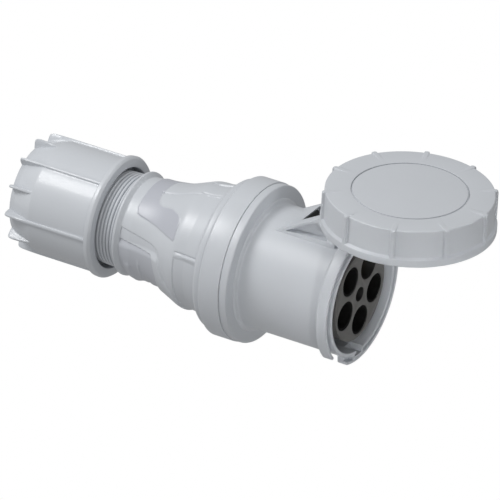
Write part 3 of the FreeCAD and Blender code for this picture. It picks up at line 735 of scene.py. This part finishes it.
@dataclass
class GlandNut:
    """Cable nut with long and short ribs and a wide front lip."""

    profile: Outline = (
        (21.5, 0, 0.6), (30.4, 0, 0.8), (32.8, 4.5, 4), (36.9, 17.5, 8), (36.9, 58.8, 0.7),
        (39.7, 59.8, 0.6), (39.9, 62.4, 1.2), (38.6, 64.2, 0.8), (34.6, 64.5, 0.8), (33.1, 64.5, 0.5),
        (33.1, 56.5), (30.9, 56.5), (30.9, 13.5), (27.3, 13.5), (27.3, 6), (21.5, 6, 0.4))
    tooth_crest: Outline = ((31.5, 0), (35.2, 0.05), (36.8, 0.5), (37.5, 1.5))
    tooth_foot: Outline = ((29.6, 0.4), (30.4, 1), (31, 2), (31.8, 3.4), (33, 5.8))
    long_crest: Outline = ((37.9, 4), (38.1, 9), (38.2, 16), (38.2, 35), (38.2, 60.2))
    long_foot: Outline = ((34.8, 11), (36.3, 17), (36.9, 35), (36.9, 60.2))
    short_crest: Outline = ((37.8, 4), (37.7, 8), (37.4, 12), (36.7, 17), (36.2, 20.5))
    short_foot: Outline = ((34.1, 9), (35.2, 12.8), (36, 17.2), (35.8, 20.5))
    rib_count: int = 6
    long_phase: float = 2.0
    short_phase: float = 32.0
    rib_width: float = 2.0
    rib_flare: float = 0.5

    def build(self, palette: Palette) -> Object:
        """Turn the nut and set its ribs.

        Args:
            palette: Materials and trees.

        Returns:
            The nut's mesh.
        """
        nut = revolve("cable_nut", self.profile)
        ribs = []
        for name, crest, foot, phase in (("long_ribs", self.long_crest, self.long_foot, self.long_phase),
                                         ("short_ribs", self.short_crest, self.short_foot, self.short_phase)):
            lines = (*self.tooth_crest, *crest), (*self.tooth_foot, *foot)
            rib = swept_rib(name, *lines, self.rib_width, self.rib_flare)
            ribs.append(palette.ring_of(rib, self.rib_count, phase))
        return combine(nut, Combine.UNION, *ribs)

    def dress(self, palette: Palette) -> None:
        """Build the nut and hand it to the frame."""
        present(self.build(palette), palette.nut, Body.NUT, Slot.GREY, "gland_nut", smooth=28.0)


def distance_inside(points: np.ndarray, corners: Outline) -> np.ndarray:
    """Signed distance to a closed outline.

    Args:
        points: One row (u, v) for each point.
        corners: The outline.

    Returns:
        Distances, above zero inside.
    """
    outline = np.array(corners, float)
    nearest = np.full(len(points), np.inf)
    inside = np.zeros(len(points), bool)
    for a, b in zip(outline, np.roll(outline, -1, axis=0)):
        along = b - a
        share = np.clip(((points - a) @ along) / (along @ along), 0.0, 1.0)
        nearest = np.minimum(nearest, np.linalg.norm(points - a - share[:, None] * along, axis=1))
        crosses = (a[1] > points[:, 1]) != (b[1] > points[:, 1])
        if crosses.any():
            where = a[0] + (points[:, 1] - a[1]) / (b[1] - a[1]) * along[0]
            inside ^= crosses & (points[:, 0] < where)
    return np.where(inside, nearest, -nearest)


def soft_step(distance: np.ndarray, width: float) -> np.ndarray:
    """Smooth step from 0 to 1 across a border of that width."""
    share = np.clip(distance / width + 0.5, 0.0, 1.0)
    return share * share * (3.0 - 2.0 * share)


def soft_max(a: np.ndarray, b: np.ndarray, blend: float) -> np.ndarray:
    """Larger of two surfaces with a rounded join."""
    share = np.clip(0.5 + 0.5 * (a - b) / blend, 0.0, 1.0)
    return b + (a - b) * share + blend * share * (1.0 - share)


def line_radius(line: Outline, heights: np.ndarray) -> np.ndarray:
    """Radius of a line of (height, radius) corners, well inside the grip beyond its ends."""
    return np.interp(heights, *np.array(line).T, left=20.0, right=20.0)


@dataclass(frozen=True)
class Line:
    """Fine line on a surface.

    Attributes:
        rise: Height of its middle, below zero for a groove.
        width: Distance from its middle at which about a third of the rise is left.
        offset: Place of its middle.
    """

    rise: float
    width: float
    offset: float = 0.0

    def at(self, places: np.ndarray) -> np.ndarray:
        """Height at each place across the line."""
        return self.rise * np.exp(-((places - self.offset) / self.width) ** 2)


@dataclass
class GripHousing:
    """Threaded neck, waisted grip with raised panels, and the rear part of the wide ring.

    The lines rear, ring and inside hold (radius, height), waist, pad and crest (height, radius), and
    panel, palm and fingers (y, z).
    """

    rear: Outline = (
        (25, 24), (29.4, 24, 0.8), (29.4, 76.2, 0.4), (32.9, 76.4, 0.5), (34, 77.2, 0.6),
        (33.9, 78.4, 0.7), (31.3, 80.7, 1), (31.4, 83))
    waist: Outline = ((88, 32), (106.9, 34.57), (116.8, 38.18), (124, 40.84), (133, 41.5))
    ring: Outline = (
        (43.7, 143.5, 1), (47.2, 143.5, 1.8), (48.9, 145.6, 1.8), (48.9, 148.8, 0.3), (48.2, 149.1),
        (48.2, 149.7), (50.8, 149.7, 0.5), (51.99, 150.9, 0.7), (51.99, 164.93, 0.5))
    inside: Outline = (
        (47.4, 164.93, 0.3), (47.4, 149.7), (38.5, 149.7), (38.5, 129.5), (29, 129.5), (29, 89),
        (21, 89), (21, 44), (25, 44))
    panel: Outline = (
        (45, 87.6), (24.6, 88), (21.5, 89.2), (20.7, 92), (18.7, 109), (17.6, 122), (19, 122.9),
        (28, 122.4), (29.6, 121), (30.4, 118.5), (30.4, 112.8), (28.7, 105), (28.5, 103),
        (28.8, 100.9), (29.6, 99.4), (31, 98.4), (45, 98))
    strip_angle: float = 12.0
    strip_ends: Pair = (97.0, 126.0)
    strip_fades: Pair = (1.0, 3.0)
    strip_rise: float = 0.1
    strip_line: Line = Line(-0.6, 0.6, -0.4)
    # Rear height of the side panel, and its upper and lower angle
    side_panel: Triple = (125.2, 77.5, 142.0)
    side_depth: float = 0.55
    side_fade: float = 8.0
    palm: Outline = (
        (12, 79), (8.1, 106), (6.6, 110), (-12.1, 116.8), (-26.3, 125.5), (-60, 130),
        (-60, 79))
    fingers: Outline = (
        (4.6, 79), (1.8, 105.5), (-1.2, 107.2), (-12.4, 109.5), (-60, 108), (-60, 79))
    pad: Outline = (
        (83.6, 31.4), (87.6, 32.3), (90.2, 31.4), (92.8, 31.2), (95.2, 30.4), (100.5, 32.1), (104.5, 32.3),
        (107, 32.2), (114, 36.1), (120, 37.2))
    crest: Outline = ((124.5, 40), (126.5, 41.1), (141.5, 43.7), (144, 44.6))
    panel_rise: float = 0.45
    # Rise and border of the palm's frame on top and below, and the level and width of the change
    frame_rise: Pair = (-0.6, 1.4)
    frame_border: Pair = (0.6, 2.4)
    frame_turn: Pair = (2.0, 6.0)
    seam: Line = Line(-0.1, 0.45)
    border: float = 0.6
    finger_depth: float = 0.9
    finger_line: Line = Line(0.6, 0.8)
    # Height of each finger ridge, and the angle at which it starts
    finger_ridges: Sequence[Pair] = ((84.6, 108.0), (95.5, 98.0))
    finger_fade: float = 12.0
    finger_tint: float = 0.6
    # Shift of the finger pad's axis, its sinking above the level of pad_turn, and the rounding of its join
    pad_shift: float = 2.5
    pad_sink: float = 3.0
    pad_turn: Pair = (-9.0, 10.0)
    pad_blend: float = 0.35
    # Angles of the ridges from +Y, their half width and drop there, and how far and softly they join
    ridge_angles: Sequence[float] = (12.0, 75.0)
    ridge_half: float = 1.3
    ridge_drop: float = 1.3
    ridge_reach: float = 2.5
    ridge_fade: float = 2.0
    ridge_blend: float = 0.25
    ridge_groove: Line = Line(-0.7, 0.6, -1.5)
    # Heights between which the outside is shaped, and the least radius that counts as outside there
    live: Pair = (80.9, 143.6)
    skin_least: float = 30.2
    # Spacing of the outline's points up to the waist's end and after it, and a margin for heights
    fine: float = 0.43
    coarse: float = 1.0
    hair: float = 0.01
    # First angle, last angle and step of the columns in degrees
    column_spans: Outline = ((0.0, 8.0, 1.0), (8.0, 130.0, 0.78), (130.0, 180.0, 1.25))
    turns: float = 12.8
    thread: dict[str, float] = field(default_factory=lambda: {
        "Pitch": 2.5, "Rear Radius": 28.9, "Front Radius": 30.0, "Ridge": 1.0, "Rear Height": 45.5})

    def waist_line(self, heights: np.ndarray) -> np.ndarray:
        """Radius of the waist, a smooth curve through its corners."""
        z, r = np.array(self.waist).T
        slope = np.gradient(r, z)
        slope[0] = 0.0
        index = np.clip(np.searchsorted(z, heights) - 1, 0, len(z) - 2)
        span = z[index + 1] - z[index]
        t = (heights - z[index]) / span
        rise = r[index + 1] - r[index]
        start, end = slope[index] * span, slope[index + 1] * span
        return r[index] + t * start + t * t * (3 * rise - 2 * start - end) + t ** 3 * (start + end - 2 * rise)

    def outline(self) -> tuple[np.ndarray, np.ndarray]:
        """Closed outline of the turned form.

        Returns:
            Points (radius, height), and which of them lie on the shaped outside.
        """
        heights = np.arange(self.waist[0][0], self.waist[-1][0] + self.hair, self.fine)
        middle = [(float(r), float(z)) for r, z in zip(self.waist_line(heights), heights)]
        points = rounded([*self.rear, *middle, *self.ring, *self.inside])
        last = int(np.argmax(points[:, 1] > self.ring[-1][1] - self.hair))
        low, high = self.live
        result, shaped = [], []
        for index, here in enumerate(points):
            following = points[(index + 1) % len(points)]
            levels = here[1], following[1]
            outside = index < last and low <= min(levels) and max(levels) <= high
            spacing = self.fine if here[1] < self.waist[-1][0] else self.coarse
            count = max(1, round(np.linalg.norm(following - here) / spacing)) if outside else 1
            for step in range(count):
                result.append(here + (following - here) * step / count)
                shaped.append(outside)
        return np.array(result), np.array(shaped)

    def columns(self) -> np.ndarray:
        """Angles from +Y towards -X in radians, closer together over the panels."""
        half = np.concatenate([np.arange(*span) for span in self.column_spans])
        return np.radians(np.concatenate([half, [180.0], 360.0 - half[:0:-1]]))

    def shaped_radius(self, base: np.ndarray, height: np.ndarray, psi: np.ndarray) -> np.ndarray:
        """Radius of the grip's outside with panels, finger pad and ridges.

        Args:
            base: Radius of the turned form at each point.
            height: Height of each point.
            psi: Angle of each point from +Y towards -X.

        Returns:
            The shaped radius of each point.
        """
        spots = np.column_stack([base * np.cos(psi), height])
        side = np.degrees(np.abs((psi + math.pi) % (2.0 * math.pi) - math.pi))
        turns = self.frame_turn, self.pad_turn
        lower, under = (soft_step(level - spots[:, 0], fade) for level, fade in turns)
        palm = distance_inside(spots, self.palm)
        rise, border = (low + (high - low) * lower for low, high in (self.frame_rise, self.frame_border))
        radius = base + self.panel_rise * soft_step(distance_inside(spots, self.panel), self.border)
        radius += rise * soft_step(palm, border)
        edge = np.radians(self.strip_angle - side) * base
        ends = soft_step(height - self.strip_ends[0], self.strip_fades[0])
        ends *= soft_step(self.strip_ends[1] - height, self.strip_fades[1])
        radius += ends * (self.strip_rise * soft_step(edge, self.border) + self.strip_line.at(edge))
        rear, upper, bottom = self.side_panel
        inset = soft_step(height - rear, self.border)
        inset *= soft_step(np.radians(side - upper) * base, self.border)
        inset *= soft_step(np.radians(bottom - side) * base, self.side_fade)
        radius -= self.side_depth * inset
        radius -= self.finger_depth * soft_step(distance_inside(spots, self.fingers), self.border)
        radius += (1.0 - lower) * self.seam.at(palm)
        fade = self.finger_fade
        for level, start in self.finger_ridges:
            radius += self.finger_line.at(height - level) * soft_step(side - start - 0.5 * fade, fade)
        shift = self.pad_shift
        bump = np.sqrt(np.maximum(line_radius(self.pad, height) ** 2 - (shift * np.sin(psi)) ** 2, 1.0))
        bump -= shift * np.cos(psi) + self.pad_sink * (1.0 - under)
        radius = soft_max(radius, bump, self.pad_blend)
        crest = line_radius(self.crest, height)
        reach = soft_step(height - self.crest[0][0] - 0.5 * self.ridge_fade, self.ridge_fade)
        for angle in self.ridge_angles:
            down = np.radians(side - angle) * base
            radius += reach * self.ridge_groove.at(down)
            ridge = crest - self.ridge_drop * np.abs(down / self.ridge_half) ** 3
            near = np.abs(down) < self.ridge_reach
            radius = np.where(near, soft_max(radius, ridge, self.ridge_blend), radius)
        return radius

    def mark_pads(self, obj: Object) -> None:
        """Mark the soft pads of the finished mesh for its material."""
        x, y, z = vertex_places(obj)
        spots = np.column_stack([y, z])
        areas = self.panel, self.fingers
        panel, fingers = (soft_step(distance_inside(spots, area), self.border) for area in areas)
        outside = (np.hypot(x, y) > self.skin_least) & (z > self.live[0]) & (z < self.live[1])
        mark(obj, np.maximum(panel, self.finger_tint * fingers) * outside)

    def build(self) -> Object:
        """Loft the grip as one fine grid."""
        outline, shaped = self.outline()
        angle, radius = np.meshgrid(self.columns(), outline[:, 0], indexing="ij")
        height, mask = (np.broadcast_to(line, radius.shape) for line in (outline[:, 1], shaped))
        radius[mask] = self.shaped_radius(radius[mask], height[mask], angle[mask])
        rows = np.stack([-radius * np.sin(angle), radius * np.cos(angle), height], axis=-1)
        grip = loft("waisted_grip", rows, True)
        self.mark_pads(grip)
        return grip

    def build_thread(self, palette: Palette) -> Object:
        """Wind the neck's thread."""
        seed = linked("neck_thread", bpy.data.meshes.new("neck_thread"))
        values = {label: length * MM for label, length in self.thread.items()}
        return grow(seed, palette.thread, {"Turns": self.turns, "Finish": palette[Slot.GREY], **values})

    def dress(self, palette: Palette) -> None:
        """Build the grip and its thread and hand them to the frame."""
        present(self.build(), palette.grip, Body.HOUSING, Slot.GREY, "grip_housing")
        present(self.build_thread(palette), palette[Slot.GREY], Body.HOUSING, Slot.GREY, smooth=60.0)


@dataclass
class FrontShell:
    """Flange, tube and mouth with the bayonet rim, keyway and hinge block."""

    profile: Outline = (
        (44, 150), (47, 150, 0.5), (47, 165.07, 0.3), (51.4, 165.07, 0.3), (51.4, 170.3, 1),
        (43.4, 170.7, 0.5), (42.8, 171.5, 0.4), (40.5, 172.4, 1.4), (40.5, 239.2, 0.9), (38, 239.2, 0.6),
        (38, 190.2, 0.4), (31.4, 190.2), (31.4, 186.2), (38.2, 186.2), (38.2, 167.3), (44, 167.3))
    rim: Outline = (
        (39.5, 228.2), (40.5, 228.2, 1.6), (42, 230.6, 1.4), (46, 231.6, 0.9), (46, 238.8, 0.7),
        (44, 238.8, 0.6), (44, 235.2, 0.4), (39.5, 235.2))
    rim_start: float = 252.0
    rim_sweep: float = 151.0
    key_block: Outline = ((-39, 226.2), (-44.8, 230.2, 2), (-45.7, 238.4, 0.6), (-39, 238.4))
    key_half: float = 6.7
    keyway: Outline = (
        (-35, 194.2), (-39.2, 194.2), (-39.2, 229.2), (-42.4, 231.2), (-42.4, 241.2), (-35, 241.2))
    keyway_half: float = 4.2
    hinge_y: float = 49.2
    hinge_z: float = 218.5
    block: Outline = (
        (34, 179.7), (54.28, 215, 1.6), (54.78, 217.15, 1.6), (53.92, 220.3, 1.6), (51.45, 222.55, 1.6),
        (44.7, 223, 0.8), (40.5, 226.5, 0.8), (34, 226.5))
    block_half: float = 17.7
    slot_sides: Pair = (-9.0, 12.5)
    hollow: Outline = (
        (38.4, 191.2), (49.9, 210.6, 0.8), (50.2, 213.4, 1.2), (46.6, 217.4, 1), (40.2, 221.6))
    hollow_floor: float = 13.0
    slot_rear: float = 198.2
    slot_bed: float = 40.3
    slot_top: float = 70.0
    cut_ends: Pair = (170.0, 240.0)
    block_edge: float = 0.5
    edge: float = 0.4
    bore: float = 1.96
    wall_middle: float = 39.2

    def build_hinge(self) -> Object:
        """Make the slotted hinge block, hollowed to the middle of the tube's wall."""
        block = prism("hinge_block", self.block, -self.block_half, self.block_half)
        bed, top, rear = self.slot_bed, self.slot_top, self.slot_rear
        floor, wall = self.hollow_floor, self.wall_middle
        low, high = self.cut_ends
        slot = prism("slot", ((bed, rear), (top, rear), (top, high), (bed, high)), *self.slot_sides)
        hollows = [prism("hollow", self.hollow, *ends) for ends in ((-BEYOND, -floor), (floor, BEYOND))]
        soften(combine(block, Combine.DIFFERENCE, slot, *hollows), self.block_edge)
        core = revolve("core", ((0.0, low), (wall, low), (wall, high), (0.0, high)))
        bore = prism("bore", disc(self.hinge_y, self.hinge_z, self.bore), -BEYOND, BEYOND)
        return combine(block, Combine.DIFFERENCE, core, bore)

    def build(self) -> Object:
        """Combine tube, rim, key block and hinge block."""
        shell = revolve("front_tube", self.profile)
        rims = [revolve("rim", self.rim, self.rim_start + turn, self.rim_sweep) for turn in (0.0, 180.0)]
        for rim in rims:
            soften(rim, self.edge, 2, 50.0)
        key = soften(prism("key_block", self.key_block, -self.key_half, self.key_half), self.edge)
        way = prism("keyway", self.keyway, -self.keyway_half, self.keyway_half)
        combine(shell, Combine.UNION, *rims, key, self.build_hinge())
        return combine(shell, Combine.DIFFERENCE, way)

    def dress(self, palette: Palette) -> None:
        """Build the shell and hand it to the frame."""
        present(self.build(), palette[Slot.GREY], Body.HOUSING, Slot.GREY, "front_shell")


@dataclass
class Lid:
    """Middle disc of the lid with its skirt and hinge arm, drawn in the lid's frame."""

    profile: Outline = (
        (0, -0.2), (35.8, -0.2, 0.5), (35.9, -0.95, 0.2), (36.6, -0.95), (36.6, -9.2), (47.2, -9.2),
        (47.2, -3.6, 0.4), (49.4, -3.6, 0.4), (49.4, -11.4, 0.5), (33.8, -11.4, 0.6), (33.8, -2.4, 0.9),
        (0, -2.4))
    arm: Outline = (
        (46.7, -4.6), (48.5, -4.6, 0.4), (48.5, -24.6, 2), (49.2, -29.4, 2), (49.2, -33.7), (46.7, -33.7))
    arm_half: float = 8.5
    eye: Triple = (49.2, -33.7, 4.3)
    bore: float = 1.96
    edge: float = 0.4

    def build(self) -> Object:
        """Combine the disc with its arm and eye."""
        cap = revolve("lid_disc", self.profile)
        y, z, radius = self.eye
        arm = prism("arm", self.arm, -self.arm_half, self.arm_half)
        eye = prism("eye", disc(y, z, radius), -self.arm_half, self.arm_half)
        combine(cap, Combine.UNION, soften(combine(arm, Combine.UNION, eye), self.edge))
        bore = prism("eye_bore", disc(y, z, self.bore), -BEYOND, BEYOND)
        return onto_lid(combine(cap, Combine.DIFFERENCE, bore))

    def dress(self, palette: Palette) -> None:
        """Build the lid's disc and hand it to the frame."""
        present(self.build(), palette[Slot.GREY], Body.LID, Slot.GREY, "lid_cap")


@dataclass
class LockingRing:
    """Turning ring of the lid with its grip ribs and bayonet lugs, drawn in the lid's frame."""

    profile: Outline = (
        (36.8, -0.2, 0.35), (53, -0.55, 0.9), (53.1, -18.4, 0.5), (55, -19.6, 0.7), (55, -24.6, 0.9),
        (50, -24.6, 0.6), (50, -3.2, 1), (36.8, -3.2))
    crest: Outline = (
        (40, -0.3), (45, -0.22), (49, -0.1), (52.4, 0), (53.9, -0.1), (54.7, -0.5), (54.97, -1.4),
        (55, -4), (55, -12), (55, -20))
    foot: Outline = (
        (40, -0.34), (45, -0.42), (49, -0.5), (51.7, -0.56), (52.5, -0.7), (52.8, -1), (53, -1.9),
        (53.02, -4), (53.06, -12), (53.1, -20))
    rib_width: float = 3.0
    rib_flare: float = 0.7
    rib_count: int = 10
    rib_phase: float = 90.0
    lugs: Outline = ((42.8, -21.7, 0.4), (50.6, -21.7), (50.6, -23.6), (42.8, -23.6, 0.4))
    hooks: Outline = ((48.2, -11.7, 0.3), (50.6, -11.7), (50.6, -13.4), (48.2, -13.4, 0.3))
    lug_spans: Sequence[Pair] = ((229.5, 16.0), (49.5, 16.0))
    hook_spans: Sequence[Pair] = ((160.0, 14.0), (285.0, 14.0))

    def build(self, palette: Palette) -> Object:
        """Combine the ring with its ribs, lugs and hooks.

        Args:
            palette: Materials and trees.

        Returns:
            The ring's mesh in the row frame.
        """
        ring = revolve("grip_ring", self.profile)
        rib = swept_rib("grip_ribs", self.crest, self.foot, self.rib_width, self.rib_flare)
        teeth = [revolve("lug", self.lugs, *span) for span in self.lug_spans]
        teeth += [revolve("hook", self.hooks, *span) for span in self.hook_spans]
        ribs = palette.ring_of(rib, self.rib_count, self.rib_phase)
        return onto_lid(combine(ring, Combine.UNION, ribs, *teeth))

    def dress(self, palette: Palette) -> None:
        """Build the ring and hand it to the frame."""
        present(self.build(palette), palette[Slot.GREY], Body.RING, Slot.GREY, "bayonet_ring")


@dataclass
class InnerParts:
    """Insert, contacts, seals and pins, which keep their CAD shape with rounded edges."""

    rounding: dict[str, tuple[Body, Slot, float]] = field(default_factory=lambda: {
        "contact_insert": (Body.HOUSING, Slot.DARK, 0.3),
        "contact_carrier": (Body.HOUSING, Slot.DARK, 0.2),
        "finger_guards": (Body.HOUSING, Slot.BLACK, 0.15),
        "terminal_screws": (Body.HOUSING, Slot.STEEL, 0.12),
        "hinge_pin": (Body.HOUSING, Slot.STEEL, 0.3),
        "lid_stop": (Body.HOUSING, Slot.RUBBER, 0.3),
        "housing_seal": (Body.HOUSING, Slot.RUBBER, 0.15),
        "clamp_ring": (Body.CORE, Slot.PALE, 0.3),
        "cable_seal": (Body.CORE, Slot.RUBBER, 0.4),
        "lid_gasket": (Body.LID, Slot.RUBBER, 0.3),
    })
    poles: Sequence[str] = ("earth", "l1", "l2", "l3", "n", "pilot")
    sleeve_rounding: float = 0.15
    hole_reach: float = 26.5
    face_level: float = 236.85

    def dress(self, palette: Palette) -> None:
        """Round, dress and hand over each inner part."""
        sleeves = {"contact_" + pole: (Body.HOUSING, Slot.BRASS, self.sleeve_rounding) for pole in self.poles}
        for node, (body, slot, width) in (self.rounding | sleeves).items():
            piece = softened_copy(node, width)
            material = palette[slot]
            # The insert's hole walls are marked for painted shade, near black in its material
            if node == "contact_insert":
                self.mark_shaded_hole_walls(piece)
                material = palette.insert
            present(piece, material, body, slot, node)

    def mark_shaded_hole_walls(self, insert: Object) -> None:
        """Mark the walls of the insert's holes, which its material paints near black as painted shade."""
        x, y, z = vertex_places(insert)
        mark(insert, (np.hypot(x, y) < self.hole_reach) & (z < self.face_level))


# Camera, lights and floor

@dataclass(frozen=True)
class Softbox:
    """Square area light that faces the object.

    Attributes:
        name: Name of the light.
        towards: Direction from the object to the light.
        distance: Distance in metres.
        size: Length of a side in metres.
        power: Power in watts.
        spread: Angle that a grid in front of it lets through, in degrees.
        aim: Point that it faces.
    """

    name: str
    towards: Triple
    distance: float
    size: float
    power: float
    spread: float = 180.0
    aim: Triple = (0.0, 0.02, 0.16)

    def build(self) -> None:
        """Set the light up."""
        data = bpy.data.lights.new(self.name, "AREA")
        data.spread = math.radians(self.spread)
        data.size = self.size
        data.energy = self.power
        light = linked(self.name, data)
        way = Vector(self.towards).normalized()
        light.location = Vector(self.aim) + way * self.distance
        light.rotation_euler = way.to_track_quat("Z", "Y").to_euler()
        light.visible_camera = False


@dataclass
class Studio:
    """Camera at the photo's angle, soft light and a pale floor."""

    lens: float = 708.2
    sensor: float = 36.0
    eye: Triple = (-4.7495, 2.9403, 2.7392)
    right: Triple = (0.50036, 0.04938, 0.86441)
    up: Triple = (0.39162, 0.8775, -0.27681)
    back: Triple = (-0.77219, 0.47703, 0.41973)
    ambient: float = 0.36
    softboxes: Sequence[Softbox] = (
        Softbox("key_softbox", (-0.4, 0.74, -0.55), 1.3, 0.45, 8.8),
        Softbox("side_softbox", (-0.85, 0.1, 0.42), 1.5, 0.9, 3.6),
        Softbox("top_softbox", (0.1, 1.0, 0.2), 1.4, 1.0, 5.4),
        Softbox("rear_softbox", (-0.45, 0.0, -0.9), 1.4, 0.6, 1.2),
        Softbox("mouth_softbox", (-0.62, 0.05, 0.78), 0.5, 0.12, 0.019, 20.0, (-0.01, 0.02, 0.265)),
    )
    floor_level: float = -0.0002
    floor_half: float = 30.0
    far: float = 100.0

    def build_camera(self) -> None:
        """Set the camera up."""
        data = bpy.data.cameras.new("photo_camera")
        data.lens = self.lens
        data.sensor_width = self.sensor
        data.sensor_fit = "HORIZONTAL"
        data.clip_end = self.far
        camera = linked("photo_camera", data)
        turn = Matrix((self.right, self.up, self.back)).transposed().to_4x4()
        camera.matrix_world = Matrix.Translation(self.eye) @ turn
        bpy.context.scene.camera = camera

    def build_floor(self) -> None:
        """Lay a floor that the camera sees as plain pale ground."""
        half = self.floor_half
        mesh = bpy.data.meshes.new("pale_floor")
        corners = [(-half, -half), (half, -half), (half, half), (-half, half)]
        mesh.from_pydata([(x, y, self.floor_level) for x, y in corners], [], [(0, 1, 2, 3)])
        floor = linked("pale_floor", mesh)
        material = bpy.data.materials.new("pale_floor")
        material.use_nodes = True
        nodes = material.node_tree.nodes
        glow = nodes.new("ShaderNodeEmission")
        glow.inputs["Color"].default_value = (1.0, 1.0, 1.0, 1.0)
        material.node_tree.links.new(glow.outputs[0], nodes["Material Output"].inputs["Surface"])
        mesh.materials.append(material)
        for ray in ("diffuse", "glossy", "transmission", "volume_scatter", "shadow"):
            setattr(floor, "visible_" + ray, False)

    def build(self) -> None:
        """Set up camera, lights, surroundings and floor."""
        scene = bpy.context.scene
        scene.view_settings.view_transform = "Standard"
        self.build_camera()
        for softbox in self.softboxes:
            softbox.build()
        world = scene.world or bpy.data.worlds.new("studio")
        scene.world = world
        world.use_nodes = True
        backdrop = world.node_tree.nodes["Background"]
        backdrop.inputs["Color"].default_value = (1.0, 1.0, 1.0, 1.0)
        backdrop.inputs["Strength"].default_value = self.ambient
        self.build_floor()


def main() -> None:
    """Build and dress every sub-assembly, then set up the studio."""
    logging.basicConfig(level=logging.INFO, format="%(message)s")
    palette = Palette()
    for assembly in (GlandNut(), GripHousing(), FrontShell(), Lid(), LockingRing(), InnerParts()):
        assembly.dress(palette)
    Studio().build()


if __name__ == "__main__":
    main()
